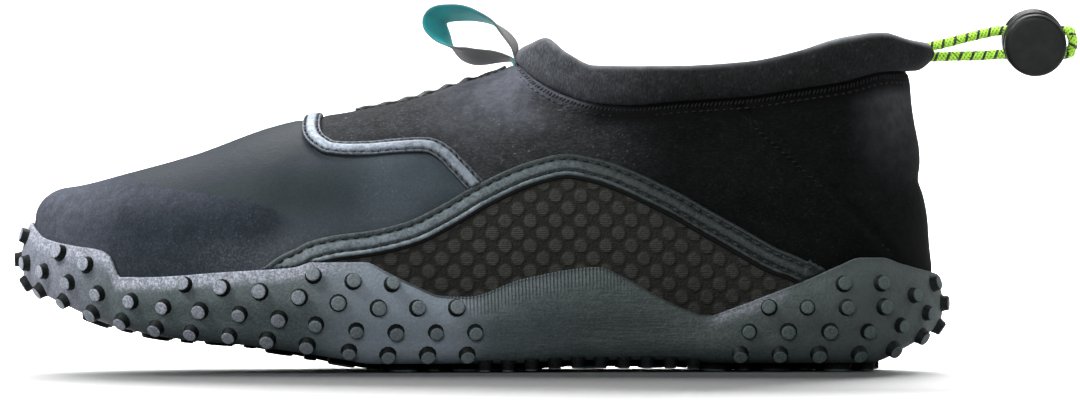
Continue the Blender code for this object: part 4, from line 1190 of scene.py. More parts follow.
def add_lock():
    """Barrel and button of the cord lock, turned from their profiles."""
    near, far = -LOCK_NEAR_WALL, LOCK_DEPTH - LOCK_NEAR_WALL
    radius = LOCK_DIAMETER / 2
    body = [(near, radius * 0.5), (near, radius - 0.9 * MM)]
    body += rounded((near, radius - 0.9 * MM), (near + 0.7 * MM, radius))
    body += [(near + 3.2 * MM, radius), (near + 3.4 * MM, radius - 0.25 * MM), (near + 3.7 * MM, radius)]
    body += [(a, r) for a, r in reversed(rounded((far, radius - 1.4 * MM), (far - 1.2 * MM, radius)))]
    body += [(far - 0.1 * MM, radius * 0.55), (far - 0.5 * MM, radius * 0.5), (far - 0.5 * MM, radius * 0.1)]
    barrel = turned("lock_barrel", body, BARREL_PLASTIC, "lock_plastic", "cord_lock_body", "shoe")
    front = near - BUTTON_GAP - BUTTON_THICKNESS
    back = front + BUTTON_THICKNESS
    radius = BUTTON_DIAMETER / 2
    disc = [(front, 0.2 * MM), (front, radius * 0.35), (front + 0.04 * MM, radius * 0.7)]
    disc += rounded((front + 0.1 * MM, radius - 1.5 * MM), (front + 1.3 * MM, radius), 8)
    disc += [(back - 0.5 * MM, radius), (back - 0.1 * MM, radius - 0.2 * MM), (back, radius - 0.6 * MM)]
    disc += [(back, 1.7 * MM), (2.5 * MM, 1.7 * MM)]
    button = turned("lock_disc", disc, BUTTON_PLASTIC, "lock_plastic", "cord_lock_button", "button")
    return barrel, button


cord_piece, cord_path = add_cord()
lock_barrel, lock_disc = add_lock()


def to_line(x, z, line):
    """Distance in metres from a place in the side view to a line of (x, z) points."""
    best = 1.0
    for (ax, az), (bx, bz) in zip(line, line[1:]):
        dx, dz = bx - ax, bz - az
        t = min(max(((x - ax) * dx + (z - az) * dz) / (dx * dx + dz * dz), 0.0), 1.0)
        best = min(best, math.hypot(x - ax - dx * t, z - az - dz * t))
    return best


def inside(x, z, ring):
    """Whether a place in the side view lies within a ring of (x, z) points."""
    within = False
    for (ax, az), (bx, bz) in zip(ring, ring[1:] + ring[:1]):
        if (az > z) != (bz > z) and x < ax + (bx - ax) * (z - az) / (bz - az):
            within = not within
    return within


def side_view(shares):
    """Places in the side view from shares along the shoe and up."""
    return [(x_of(a), h * INSTEP_HEIGHT) for a, h in shares]


ARCH_LINE = [(x_of(a), arch_height(a)) for a in (0.262 + 0.618 * k / 28 for k in range(29))]
VAMP_LINE = side_view(curve_through(((0.3125, 0.85),) + VAMP_TRIM, 28))
SEAM_LINE = side_view(HEEL_SEAM)
CREASE_LINES = [(side_view((a, b)), width * MM, rise * MM) for a, b, width, rise in CREASES]
PATCH_RING = side_view(curve_through(TOE_PATCH_EDGE, 61)) + side_view(TOE_PATCH_AHEAD)


def quarter_side(x, z):
    """Signed distance from the vamp's edge: positive on the vamp, negative on the quarter."""
    along = along_at(x)
    if along < 0.314:
        behind = False
    elif z < arch_height(along) and along > 0.318:
        behind = True
    else:
        edge = [p for p in VAMP_LINE if p[0] <= x]
        reached = z > max((p[1] for p in VAMP_LINE[8:] if p[0] >= x - 4 * MM), default=0.0)
        behind = along > 0.484 or (reached and bool(edge))
    away = min(to_line(x, z, VAMP_LINE), to_line(x, z, ARCH_LINE))
    return -away if behind else away


def relief(x, z, seam):
    """Lift of the neoprene above the last: soft creases, and dips where seams and trims hold it down."""
    lift = 0.0
    for line, width, rise in CREASE_LINES:
        away = to_line(x, z, line) / width
        if away < 2.5:
            lift += rise * math.exp(-away * away)
    heel = to_line(x, z, SEAM_LINE)
    lift += 0.5 * MM * math.exp(-((heel / (6 * MM)) ** 2)) - 0.9 * MM * math.exp(-((heel / (1.3 * MM)) ** 2))
    trims = max(min(to_line(x, z, VAMP_LINE), to_line(x, z, ARCH_LINE)) - 2.2 * MM, 0.0)
    lift += 0.45 * MM * (math.exp(-trims / (5 * MM)) - 1.8 * math.exp(-trims / (1.3 * MM)))
    below = max(seam - z, 0.0)
    lift += 0.5 * MM * (math.exp(-((below / (7 * MM)) ** 2)) - 2.0 * math.exp(-below / (1.5 * MM)))
    return lift


def upper_stations(steps):
    """Stations of one side of the upper, with two at the throat, where its section opens."""
    return sorted(set(evenly(0.0, 1.0, steps)) | {turn_of(THROAT), turn_of(THROAT + 0.003)})


def upper_girths(along, foot_steps, side_steps):
    """Girths from the footbed up to the crest, or to the collar's seam behind the throat."""
    end = 0.0 if along <= THROAT + 1e-6 else girth_at(along, seam_height(along))
    foot = [1.0 - (1.0 - WIDEST_GIRTH) * k / foot_steps for k in range(foot_steps)]
    return foot + [WIDEST_GIRTH + (end - WIDEST_GIRTH) * k / side_steps for k in range(side_steps + 1)]


def add_upper():
    """Outer knit of the upper, one open skin with its edges turned in."""
    points, faces, vamp, toe, below = [], [], [], [], []
    for side in (-1, 1):
        start = len(points)
        stations = upper_stations(UPPER_STEPS[0])
        for turn in stations:
            along = along_of(turn)
            seam = seam_height(along) if along > THROAT else 1.0
            girths = upper_girths(along, *UPPER_STEPS[1:])
            for girth in girths:
                base = skin_point(turn, side * girth)
                x, z = base.x, base.z
                fade = smooth((z - rubber_edge(along) + 1 * MM) / (5 * MM))
                lift = relief(x, z, seam) * fade
                points.append(on_shoe(turn, side * girth, lift))
                vamp.append(quarter_side(x, z))
                below.append(seam - z)
                away = to_line(x, z, PATCH_RING)
                low_blur = 11.0 * smooth((0.52 - z / INSTEP_HEIGHT) / 0.05)
                toe_blur = 6.0 * smooth((-96 * MM - x) / (9 * MM))
                toe.append((away if inside(x, z, PATCH_RING) else -away) / (1.0 + low_blur + toe_blur))
            hem = Vector((0.0, 0.0, 1.2 * MM)) if along > THROAT else Vector()
            points.append(skin(turn, side * girths[-1], -UPPER_WALL / 2) + hem + SHIFT)
            points.append(on_shoe(turn, side * girths[-1], -UPPER_WALL))
            vamp += [vamp[-1]] * 2
            toe += [toe[-1]] * 2
            below += [0.0] * 2
        columns = len(girths) + 2
        faces += lattice(len(stations), columns, start=start)
    make("upper_knit", points, faces, [KNIT], "neoprene", ("upper",), vamp=vamp, toe=toe, seam=below)


def add_lining():
    """Inner face of the upper."""
    points, faces = [], []
    for side in (-1, 1):
        start = len(points)
        stations = upper_stations(LINING_STEPS[0])
        for turn in stations:
            girths = upper_girths(along_of(turn), *LINING_STEPS[1:])
            for girth in girths:
                points.append(on_shoe(turn, side * girth, -UPPER_WALL))
        faces += lattice(len(stations), len(girths), start=start)
    lining = make("upper_lining", points, faces, [LINING], "neoprene", ("upper",))
    lining.data.flip_normals()


def add_insole():
    """Foam footbed: cloth top that rises a little towards its rim, rounded edge, flat underside."""
    line = once_round(evenly(0.0, 1.0, INSOLE_STATIONS))
    inset = -(UPPER_WALL + 2 * GAP)
    rings = []
    for lift, extra in ((0.0, 0.0), (0.55, 0.0), (0.85, 0.15), (1.0, 0.7), (1.02, 2.0)):
        ring = []
        for turn, side in line:
            low = footbed(along_of(turn)) + GAP + INSOLE_THICKNESS * lift
            ring.append(level_point(turn, side, low, inset - extra * MM))
        rings.append(ring)
    edge = rings[-1]
    middle = []
    for p in edge:
        along = min(max(along_at(p.x), 0.02), 0.98)
        middle.append(Vector((p.x, centre_line(along), p.z)))
    for share in (0.1, 0.25, 0.45, 0.7, 1.0):
        dip = 0.5 * MM * smooth(share / 0.5)
        rings.append([p.lerp(m, share) - Vector((0.0, 0.0, dip)) for p, m in zip(edge, middle)])
    points = [p + SHIFT for ring in rings for p in ring]
    faces = lattice(len(rings), len(line), around=True)
    faces += closed_ring(0, len(line))
    make("insole_pad", points, faces, [INSOLE_CLOTH], "insole_foam", ("insole",))


def add_outsole():
    """Cup of the sole: rounded top lip, grooved foot line and flat tread."""
    line = once_round(evenly(0.0, 1.0, CUP_STATIONS))
    count = len(line)
    levels = [0.0, 0.012, 0.03, 0.06, 0.10, 0.15, 0.20, 0.28]
    levels += [0.36, 0.44, 0.52, 0.60, 0.68, 0.76, 0.84, 0.91, 0.96]
    rings = [[cup_face(t, s, up) for t, s in line] for up in levels]
    walls = [[(1.0 - up) for _ in line] for up in levels]
    lip = CUP_PROFILE.at("out", 0.96) * CUP_WALL
    for angle in (0, 30, 60, 90, 120, 150, 180):
        turned_in = math.cos(math.radians(angle))
        ring = []
        for turn, side in line:
            edge = rubber_edge(along_of(turn))
            radius = (lip - GAP) / 2
            out = GAP + radius + radius * turned_in
            height = edge - radius * 0.9 + radius * 0.9 * math.sin(math.radians(angle))
            ring.append(level_point(turn, side, height, out))
        rings.append(ring)
        walls.append([0.0 for _ in line])
    for share in (0.6, 0.0):
        ring = []
        for turn, side in line:
            along = along_of(turn)
            low = footbed(along)
            ring.append(level_point(turn, side, low + (rubber_edge(along) - low) * share, GAP))
        rings.append(ring)
        walls.append([0.5 for _ in line])
    foot = rings[0]
    middle = []
    for p, (turn, _) in zip(foot, line):
        along = along_of(turn)
        middle.append(Vector((p.x, centre_line(along), sole_line(along))))
    under = []
    for share in (1.0, 0.75, 0.5, 0.3, 0.15, 0.05):
        under.append([p.lerp(m, share) for p, m in zip(foot, middle)])
    rings = under + rings
    walls = [[1.0 for _ in line] for _ in under] + walls
    lengths = [0.0]
    for (ta, sa), (tb, sb) in zip(line, line[1:]):
        lengths.append(lengths[-1] + (cup_face(tb, sb, 0.8) - cup_face(ta, sa, 0.8)).length)
    wall = []
    for values in walls:
        for j, (turn, _) in enumerate(line):
            along = along_of(turn)
            wall.append((lengths[j], values[j] * (rubber_edge(along) - sole_line(along)), along))
    points = [p + SHIFT for ring in rings for p in ring]
    faces = lattice(len(rings), count, around=True)
    faces += closed_ring((len(rings) - 1) * count, count)
    make("sole_cup", points, faces, [RUBBER], "outsole_rubber", ("outsole",), sharp=70, wall=wall)


def knob(points, faces, rise, point, normal, profile, sides, twist=0.0):
    """One stud or lug from pairs of height and radius, closed on top."""
    turned_to = normal.to_track_quat("Z", "X").to_matrix()
    start = len(points)
    for height, radius in profile:
        for c, s in (spoke(k, sides, twist) for k in range(sides)):
            points.append(point + turned_to @ Vector((radius * c, radius * s, height)))
            rise.append(height)
    faces.extend(lattice(len(profile), sides, around=True, start=start))
    faces.append(cap(start + (len(profile) - 1) * sides, sides))


def stud_normal(turn, side, up):
    """Outward direction of the rubber's wall."""
    ahead = cup_face(turn + 0.004, side, up) - cup_face(turn - 0.004, side, up)
    upward = cup_face(turn, side, up + 0.03) - cup_face(turn, side, max(up - 0.03, 0.0))
    return ahead.cross(upward).normalized() * -side


def stud_places():
    """Staggered rows of studs around the forefoot and around the heel, by the part's own rule."""
    found = []
    steps = 400
    line = [(k / steps, -1) for k in range(steps)] + [(1 - k / steps, 1) for k in range(steps)]
    for row, rise in enumerate(STUD_ROW_HEIGHTS):
        places = []
        for turn, side in line:
            along = along_of(turn)
            bottom, edge = sole_line(along), rubber_edge(along)
            places.append(cup_face(turn, side, min(rise / (edge - bottom), 1.0)))
        lengths = [(b - a).length for a, b in zip(places, places[1:] + places[:1])]
        pitch = sum(lengths) / round(sum(lengths) / STUD_PITCH)
        travelled = pitch * (0.25 + 0.5 * (row % 2))
        for (turn, side), place, length in zip(line, places, lengths):
            travelled += length
            if travelled < pitch:
                continue
            travelled -= pitch
            along = along_of(turn)
            bottom, edge = sole_line(along), rubber_edge(along)
            in_zone = along < STUDS_FRONT_END or along > STUDS_REAR_START
            if in_zone and bottom + rise <= edge - STUD_EDGE_MARGIN:
                found.append((place, stud_normal(turn, side, rise / (edge - bottom))))
    return found


def lug_places():
    """Rows of lugs under the sole, by the part's own rule."""
    places = []
    for row in range(1, int(LAST_LENGTH / LUG_PITCH)):
        along = (row + 0.1) * LUG_PITCH / LAST_LENGTH
        if along > LUGS_END:
            continue
        middle = centre_line(along)
        room = min(half_width(along, -1), half_width(along, 1)) - LUG_MARGIN - LUG_RADIUS
        lugs = int(2 * room / LUG_PITCH) + 1
        lugs -= (lugs + row) % 2
        for k in range(max(lugs, 1)):
            places.append((along, middle + (k - (lugs - 1) / 2) * LUG_PITCH))
    return places


def lug_depth(along):
    """Share of their full depth that the lugs have: they are lower under the toe."""
    return 0.45 + 0.55 * smooth((along - 0.22) / 0.14)


def add_ribs(points, faces, rise):
    """Two low wavy ribs along the tread, which close the view between the lugs."""
    for offset in RIB_OFFSETS:
        start = len(points)
        for k in range(RIB_STEPS + 1):
            along = RIB_START + (LUGS_END - 0.25) * k / RIB_STEPS
            middle = centre_line(along) + (offset + 1.2 * math.sin(k * 0.55)) * MM
            depth = RIB_DEPTH * lug_depth(along)
            for wide, deep in mirrored(((0.8, depth), (1.1, depth - 0.3), (1.3, -0.5))):
                points.append(Vector((x_of(along), middle + wide * MM, sole_line(along) - deep * MM)))
                rise.append(min(deep, 1.5) * MM)
        faces.extend(lattice(RIB_STEPS + 1, 6, start=start))
        faces += [cap(start, 6), cap(start + 6 * RIB_STEPS, 6)]


def add_studs():
    """Studs of the side wall and lugs of the tread, joined in one mesh."""
    chance = random.Random(4)
    points, faces, rise = [], [], []
    for place, normal in stud_places():
        size = chance.uniform(0.94, 1.06)
        profile = [(h * MM, r * size * MM) for h, r in STUD]
        knob(points, faces, rise, place, normal, profile, STUD_SIDES, chance.uniform(0, 1))
    for along, y in lug_places():
        for profile, behind, sides in ((LUG, 0.0, STUD_SIDES), (SMALL_LUG, LUG_PITCH / 2, SMALL_LUG_SIDES)):
            place = along + behind / LAST_LENGTH
            if place > LUGS_END:
                continue
            slope = (sole_line(place + 0.01) - sole_line(place - 0.01)) / (0.02 * LAST_LENGTH)
            down = Vector((slope, 0.0, -1.0)).normalized()
            point = Vector((x_of(place), y, sole_line(place)))
            shape = [(h * (lug_depth(place) if h > 0 else 1.0) * MM, r * MM) for h, r in profile]
            knob(points, faces, rise, point, down, shape, sides, math.pi / 6)
    waist_step = WAIST_LUG_PITCH / LAST_LENGTH
    profile = [(h * MM, r * MM) for h, r in SMALL_LUG]
    for side in (-1, 1):
        for k in range(int((STUDS_REAR_START - STUDS_FRONT_END) / waist_step)):
            along = WAIST_LUGS_START + k * waist_step
            y = centre_line(along) + side * (half_width(along, side) - WAIST_LUG_INSET)
            point = Vector((x_of(along), y, sole_line(along)))
            knob(points, faces, rise, point, Vector((0.0, 0.0, -1.0)), profile, SMALL_LUG_SIDES)
    add_ribs(points, faces, rise)
    points = [p + SHIFT for p in points]
    slot, nodes = "outsole_rubber", ("outsole",)
    make("sole_studs", points, faces, [STUD_RUBBER], slot, nodes, sharp=60, rise=rise)


def heading_across(path, i):
    """Direction on the skin square to a path, to its left."""
    before, after = path[max(i - 1, 0)], path[min(i + 1, len(path) - 1)]
    forward, around = skin_slopes(*path[i])
    heading = skin_point(*after) - skin_point(*before)
    return forward.cross(around).normalized().cross(heading.normalized())


def beside(path, i, away):
    """Turn and girth of a place beside a path, away metres to its left, reached in short steps."""
    across = heading_across(path, i)
    steps = max(math.ceil(abs(away) / (0.9 * MM)), 1)
    turn, girth = path[i]
    for _ in range(steps):
        forward, around = skin_slopes(turn, girth)
        ff, fa, aa = forward.dot(forward), forward.dot(around), around.dot(around)
        cf, ca = across.dot(forward), across.dot(around)
        scale = (ff * aa - fa * fa) * steps / away if away else 1.0
        turn += (cf * aa - ca * fa) / scale if away else 0.0
        girth += (ca * ff - cf * fa) / scale if away else 0.0
    return turn, girth


def strip(name, path, half, profile, material, slot, nodes, hidden):
    """A moulded strip on the skin, from pairs of place across it (-1 to 1) and height in mm."""
    upper, lower, rise = [], [], []
    for i in range(len(path)):
        for c, height in profile:
            turn, girth = beside(path, i, half * c)
            if hidden(along_of(turn), height_at(along_of(turn), girth)):
                height = min(height, 0.0)
            upper.append(on_shoe(turn, girth, GAP + height * MM))
            lower.append(on_shoe(turn, girth, TRIM_SEAT))
            rise.append((height + 0.3) * MM)
    faces = closed_strip(len(path), len(profile))
    make(name, upper + lower, faces, [material], slot, nodes, rise=rise + rise)


def vamp_path(count):
    side_path = [(turn_of(a), girth_at(a, h * INSTEP_HEIGHT)) for a, h in VAMP_TRIM]
    points = [(t, -g) for t, g in reversed(side_path)] + [(side_path[0][0], 0.0)] + side_path
    return curve_through(points, count)


def arch_path(side, count):
    stations = ARCH_TRIM.columns["along"]
    places = evenly(stations[0], stations[-1], count - 1)
    return [(turn_of(a), side * girth_at(a, arch_height(a))) for a in places]


# Sections of the trims: place across them and height in mm
VAMP_HALF = ((0.15, 1.2), (0.34, 1.12), (0.50, 0.85), (0.60, 0.35), (0.72, 0.35), (0.80, 0.72))
VAMP_PROFILE = mirrored(VAMP_HALF + ((0.90, 0.75), (0.97, 0.5), (1.0, 0.0)))
ARCH_PROFILE = (
    (-1.0, 0.0), (-0.98, 0.55), (-0.92, 1.0), (-0.82, 1.22), (-0.72, 1.2), (-0.62, 0.95), (-0.54, 0.42),
    (-0.46, 0.40), (-0.38, 0.75), (-0.22, 0.92), (0.0, 0.95), (0.22, 0.92), (0.38, 0.75), (0.46, 0.38),
    (0.60, 0.36), (0.68, 0.62), (0.82, 0.70), (0.93, 0.55), (1.0, 0.0),
)


def stitch_row(points, faces, places, length, width, height, pitch, lean_in=0.0):
    """Short raised threads along a line of (point, normal); lean_in slants each in radians."""
    travelled = pitch / 2
    rings, sides = 5, 8
    for (p, n), (q, _) in zip(places, places[1:]):
        step = (q - p).length
        travelled += step
        if travelled < pitch:
            continue
        travelled -= pitch
        ahead = (q - p).normalized()
        across = n.cross(ahead).normalized()
        run = ahead * math.cos(lean_in) + across * math.sin(lean_in)
        wide = n.cross(run).normalized()
        start = len(points)
        for i in range(rings):
            share = -1 + 2 * i / (rings - 1)
            girth = math.sqrt(max(1 - (share * 0.97) ** 2, 0.0)) ** 0.7
            bow = 1 - share * share
            for c, s in (spoke(k, sides) for k in range(sides)):
                offset = wide * c * width / 2 * girth
                offset += n * (s * height / 2 * girth + height * 0.35 * bow)
                points.append(p + run * share * length / 2 + offset)
        faces.extend(closed_tube(rings, sides, start))


def skin_line(places, lift):
    """Points above the skin and its normals there, from pairs of turn and girth."""
    return [(on_shoe(turn, girth, lift), skin_normal(turn, girth)) for turn, girth in places]


def line_beside(path, away, lift):
    """The same, along a line beside a path on the skin."""
    return skin_line([beside(path, i, away) for i in range(len(path))], lift)


def below_arch(along, z):
    """Whether the vamp trim ends there, behind the arch trim."""
    return z < arch_height(along) + ARCH_TRIM_HALF * 1.05


def below_rubber(along, z):
    """Whether the arch trim runs there behind the rubber."""
    return z < rubber_edge(along) + 0.2 * MM


def stitches_in_view(path, away, hidden):
    """Line for a stitch row in a groove of a trim, where the trim shows."""
    places = line_beside(path, away, STITCH_LIFT)
    return [(p, n) for p, n in places if not hidden(along_at(p.x), p.z - 1 * MM)]


def add_trims():
    path = vamp_path(240)
    strip("vamp_strip", path, VAMP_TRIM_HALF, VAMP_PROFILE, VAMP_FILM, "trim", ("vamp_trim",), below_arch)
    pale, grey = ([], []), ([], [])
    for away in (-0.66, 0.66):
        stitch_row(*pale, stitches_in_view(path, VAMP_TRIM_HALF * away, below_arch), *VAMP_STITCH)
    make("vamp_stitches", *pale, [VAMP_THREAD], "trim")
    for name, side in (("lateral", -1), ("medial", 1)):
        path = arch_path(side, 300)
        profile = ARCH_PROFILE if side < 0 else tuple((-c, h) for c, h in reversed(ARCH_PROFILE))
        nodes = ("arch_trim_" + name,)
        strip("arch_strip_" + name, path, ARCH_TRIM_HALF, profile, ARCH_FILM, "trim", nodes, below_rubber)
        for away in (0.53, -0.50):
            places = stitches_in_view(path, -side * ARCH_TRIM_HALF * away, below_rubber)
            stitch_row(*grey, places, *ARCH_STITCH)
    make("arch_stitches", *grey, [ARCH_THREAD], "trim")


def add_mesh_panel(name, side):
    """Panel of dotted mesh between the arch trim and the wave of the rubber."""
    steps, levels = 170, 34
    points, flat = [], []
    for along in evenly(MESH_START, MESH_END, steps):
        turn = turn_of(along)
        high = arch_height(along) - 2 * MM
        low = max(min(rubber_edge(along) - 2 * MM, high - 1 * MM), footbed(along))
        previous, rise = None, low
        for j in range(levels + 1):
            girth = girth_at(along, low + (high - low) * j / levels) * side
            point = on_shoe(turn, girth, MESH_LIFT)
            rise += (point - previous).length if previous else 0.0
            previous = point
            points.append(point)
            flat.append((point.x, rise, 0.0))
    faces = lattice(steps + 1, levels + 1)
    size = len(points)
    for i in range(steps + 1):
        for j in (0, levels):
            outer = points[i * (levels + 1) + j]
            points.append(outer + Vector((0.0, -side, 0.0)) * 1.2 * MM)
            flat.append(flat[i * (levels + 1) + j])
    for i in range(steps):
        for edge, j in ((0, 0), (1, levels)):
            a, b = i * (levels + 1) + j, (i + 1) * (levels + 1) + j
            faces.append((a, b, size + 2 * (i + 1) + edge, size + 2 * i + edge))
    make("mesh_" + name, points, faces, [AIR_MESH], "air_mesh", ("mesh_panel_" + name,), flat=flat)


def tube(points, faces, places, radius):
    """A round bead along a line of points."""
    start, sides = len(points), 8
    for centre, (_, side, up) in zip(places, frames_along(places)):
        for c, s in (spoke(k, sides) for k in range(sides)):
            points.append(centre + (side * c + up * s) * radius)
    faces.extend(closed_tube(len(places), sides, start))


def add_dark_edge_and_shade():
    """Black bead between the mesh and the trim above it: partly the mesh's dark edge, partly painted shade.
    """
    points, faces = [], []
    for side in (-1, 1):
        path = arch_path(side, 160)
        edge = line_beside(path, side * (ARCH_TRIM_HALF + 0.35 * MM), MESH_LIFT)
        tube(points, faces, [p for p, _ in edge], DARK_BEAD_RADIUS)
    make("trim_dark_edge_and_shade", points, faces, [BLACK_THREAD], "trim")


def add_instep_seam():
    """Puckered tape along the crest of the instep, held by a stitch at each scallop."""
    length = (SEAM_END - SEAM_START) * LAST_LENGTH
    steps = round(length / SEAM_PITCH * TAPE_STEPS)
    profile = mirrored(((0.35, 1.0), (0.7, 0.85), (0.92, 0.55), (1.0, 0.0)), ((0.0, 1.05),))
    points = []
    for k, along in enumerate(evenly(SEAM_START, SEAM_END, steps)):
        swell = (0.5 - 0.5 * math.cos(2 * math.pi * k / TAPE_STEPS)) * (0.35 + 0.65 * smooth(k / steps * 1.4))
        swell *= 1 - 0.75 * smooth((k / steps - 0.74) / 0.12)
        turn = turn_of(along)
        width = skin_slopes(turn, 0.0)[1].length
        reach = SEAM_HALF * (0.8 + 0.3 * swell) / width
        for share, height in profile:
            lift = GAP + (0.35 + 0.85 * swell) * height * MM if height else -0.15 * MM
            points.append(on_shoe(turn, reach * share, lift))
    faces = lattice(steps + 1, len(profile))
    make("instep_tape", points, faces, [PUCKER], "trim", ("instep_seam",))
    threads = ([], [])
    for away in (-1.0, 1.0):
        places = []
        for turn in map(turn_of, evenly(SEAM_START, SEAM_END, 199)):
            places.append((turn, away * (SEAM_HALF + 0.5 * MM) / skin_slopes(turn, 0.0)[1].length))
        stitch_row(*threads, skin_line(places, 0.0), *TAPE_STITCH)
    make("instep_stitches", *threads, [BLACK_THREAD], "neoprene")


def band_section(i, line):
    """Middle, outward direction, height range and front and rear shares of the band at a station."""
    point, seam, top, along = line[i]
    ahead = line[(i + 1) % len(line)][0] - line[i - 1][0]
    out = Vector((ahead.y, -ahead.x, 0.0)).normalized()
    rear = smooth((along - 0.9) / 0.1) * math.exp(-((point.y / BEAK_SPREAD) ** 2))
    front = 1 - smooth((along - THROAT) / 0.06)
    middle = point - out * (UPPER_WALL / 2 - 0.6 * MM)
    low = seam + GAP
    return middle, out, low, (top - low) / 2, front, rear


def band_line(steps):
    turns = [turn_of(THROAT + (1 - THROAT) * smooth(share)) for share in evenly(0.0, 1.0, steps)]
    line = []
    for turn, side in once_round(turns):
        along = along_of(turn)
        seam = seam_height(along)
        top = TOPLINE.at("top", along) * INSTEP_HEIGHT
        line.append((last_point(turn, side, min(seam, crest(along))), seam, top, along))
    return line


# Wrinkles of the collar band: place along the shoe, width in shares, rise in mm
BAND_WRINKLES = (
    (0.565, 0.006, -0.5), (0.585, 0.010, 0.4), (0.610, 0.007, -0.35), (0.66, 0.012, 0.3),
    (0.70, 0.008, -0.25), (0.80, 0.014, 0.25), (0.87, 0.010, -0.3), (0.93, 0.009, 0.35),
    (0.96, 0.005, -0.4),
)


def add_collar_band():
    """Rolled band on the topline, drawn out behind the heel into the beak."""
    line = band_line(110)
    points = []
    for i, (_, _, _, along) in enumerate(line):
        middle, out, low, half, front, rear = band_section(i, line)
        wrinkle = sum(r * math.exp(-(((along - a) / w) ** 2)) for a, w, r in BAND_WRINKLES) * MM
        for k in range(BAND_CORNERS):
            angle = 2 * math.pi * k / BAND_CORNERS
            c, s = math.cos(angle), math.sin(angle)
            wide = math.copysign(abs(c) ** 0.85, c)
            up = math.copysign(abs(s) ** 0.85, s)
            skewed = wrinkle * (0.6 + 0.4 * math.sin(3 * angle + along * 90))
            p = middle + out * (wide * BAND_THICKNESS / 2 + c * skewed)
            p.z = low + half * (1 + up)
            p.x += FRONT_LEAN * front * (1 + up) / 2
            p += out * BEAK_REACH * rear * (0.6 + 0.4 * smooth((1 + up) / 1.2)) * (0.75 + 0.25 * wide)
            points.append(p + SHIFT)
    faces = lattice(len(line), BAND_CORNERS, around=True, along=True)
    make("collar_roll", points, faces, [COLLAR_KNIT], "neoprene", ("collar_band",))


def add_collar_seam():
    """Overlock and needle rows below the collar band, and the diagonal seams of the heel."""
    overlock, black = ([], []), ([], [])
    for side in (-1, 1):
        for drop, slant, pitch in ((1.3, 1.0, 1.15), (3.1, 0.0, 2.2)):
            places = []
            for k in range(420):
                along = THROAT + 0.004 + (0.998 - THROAT - 0.004) * k / 419
                height = min(seam_height(along), crest(along) - 0.05 * MM) - drop * MM
                places.append((turn_of(along), side * girth_at(along, height)))
            stitch_row(*overlock, skin_line(places, 0.1 * MM), *OVERLOCK_THREAD, pitch * MM, slant)
        seam = curve_through(HEEL_SEAM, 160)
        places = [(turn_of(a), side * girth_at(a, h * INSTEP_HEIGHT)) for a, h in seam]
        stitch_row(*black, skin_line(places, -0.25 * MM), *HEEL_STITCH, 0.5)
    make("collar_overlock", *overlock, [OVERLOCK], "neoprene")
    make("heel_stitches", *black, [BLACK_THREAD], "neoprene")


def add_pull_loop():
    """Ribbon loop ahead of the collar, teal inside and grey outside."""
    base = Vector((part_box("collar_band")[0].x + LOOP_SEAT, 0.0, LOOP_BASE)) + SHIFT
    folds = curve_through(LOOP_FOLDS, 97)
    centres = [base + Vector((-LOOP_LENGTH * f, 0.0, LOOP_HEIGHT * u)) for f, u, _ in folds]
    columns = 9
    inner, outer, flat = [], [], []
    run = 0.0
    for i, (_, _, degrees) in enumerate(folds):
        ahead = (centres[min(i + 1, len(folds) - 1)] - centres[max(i - 1, 0)]).normalized()
        run += (centres[i] - centres[i - 1]).length if i else 0.0
        level = Vector((0.0, 1.0, 0.0))
        face = ahead.cross(level).normalized()
        turned_by = math.radians(degrees)
        wide = level * math.cos(turned_by) + face * math.sin(turned_by)
        thick = ahead.cross(wide).normalized() * RIBBON_HALF_THICKNESS * MM
        for k in range(columns):
            share = -1 + 2 * k / (columns - 1)
            bow = thick * (0.5 * (1 - share * share)) * math.sin(run / (9 * MM))
            centre = centres[i] + wide * share * LOOP_RIBBON_WIDTH / 2 + bow
            edge = 0.35 if abs(share) > 0.99 else 1.0
            inner.append(centre - thick * edge)
            outer.append(centre + thick * edge)
            flat.append((run, share * LOOP_RIBBON_WIDTH / 2, 0.0))
    heart = sum(centres, Vector()) / len(centres)

    def side_of(face):
        return 0 if face.normal.dot(heart - face.calc_center_median()) > 0 else 1

    make(
        "loop_ribbon",
        inner + outer,
        closed_strip(len(folds), columns),
        [RIBBON_TEAL, RIBBON_GREY],
        "ribbon",
        ("pull_loop",),
        choose=side_of,
        flat=flat + flat,
    )


add_upper()
add_lining()
add_insole()
add_outsole()
add_studs()
add_trims()
for panel, panel_side in (("lateral", -1), ("medial", 1)):
    add_mesh_panel(panel, panel_side)
add_dark_edge_and_shade()
add_instep_seam()
add_collar_band()
add_collar_seam()
add_pull_loop()


SWEEP_START = 1.2
SWEEP_RADIUS = 0.8
SWEEP_TURN = math.radians(41.4)
SWEEP_REACH = 4.0


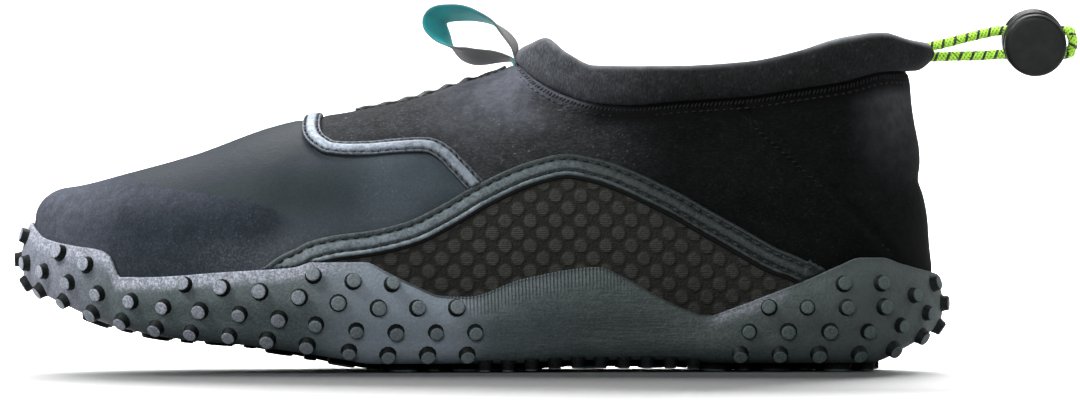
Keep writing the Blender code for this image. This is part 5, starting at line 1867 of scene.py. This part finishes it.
def add_studio():
    """Seamless pale paper, four soft lamps for the shoe and three for the paper alone."""
    points = []
    section = [(-SWEEP_REACH, 0.0), (SWEEP_START, 0.0)]
    for k in range(1, 9):
        angle = SWEEP_TURN * k / 8
        y = SWEEP_START + SWEEP_RADIUS * math.sin(angle)
        section.append((y, SWEEP_RADIUS - SWEEP_RADIUS * math.cos(angle)))
    for y, z in section:
        points += [(-SWEEP_REACH, y, z), (SWEEP_REACH, y, z)]
    mesh = new_mesh("studio_sweep", points, lattice(len(section), 2), [PAPER], {})
    mesh.shade_smooth()
    sweep = in_scene("studio_sweep", mesh)
    sweep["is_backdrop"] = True
    lit = bpy.data.collections.new("lit_by_the_lamps")
    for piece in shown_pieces():
        lit.objects.link(piece)
    backdrop = bpy.data.collections.new("lit_from_behind")
    backdrop.objects.link(sweep)
    lamps = (
        ("key", (-1.0, -0.35, 1.25), (0.0, 0.05), (0.7, 0.7), 42.0, lit),
        ("fill", (-0.3, -2.6, 0.75), (0.0, 0.05), (1.2, 1.2), 46.0, lit),
        ("rim", (1.2, 0.3, 1.0), (0.0, 0.05), (0.8, 0.8), 14.0, lit),
        ("top", (-0.1, 0.9, 1.4), (0.0, 0.05), (1.0, 1.0), 38.0, lit),
        ("paper", (0.0, 1.2, 1.0), (0.0, 0.05), (0.9, 0.9), 14.0, backdrop),
        ("shade", (0.0, 2.6, 0.74), (0.0, 0.05), (1.8, 0.8), 320.0, backdrop),
        ("curve", (0.0, 0.8, 1.0), (1.9, 0.0), (1.6, 0.5), 24.0, backdrop),
    )
    for name, place, (far, high), size, power, receivers in lamps:
        lamp = bpy.data.lights.new(name, "AREA")
        lamp.shape = "RECTANGLE"
        lamp.size, lamp.size_y = size
        lamp.energy = power
        made = in_scene(name, lamp)
        made.location = place
        aim = Vector((0.0, far, high)) - Vector(place)
        made.rotation_euler = aim.to_track_quat("-Z", "Y").to_euler()
        made.light_linking.receiver_collection = receivers
    world = bpy.data.worlds.new("studio")
    world.use_nodes = True
    world.node_tree.nodes["Background"].inputs["Color"].default_value = (0.95, 0.97, 1.0, 1.0)
    world.node_tree.nodes["Background"].inputs["Strength"].default_value = 0.08
    bpy.context.scene.world = world
    bpy.context.scene.view_settings.view_transform = "Standard"


add_studio()
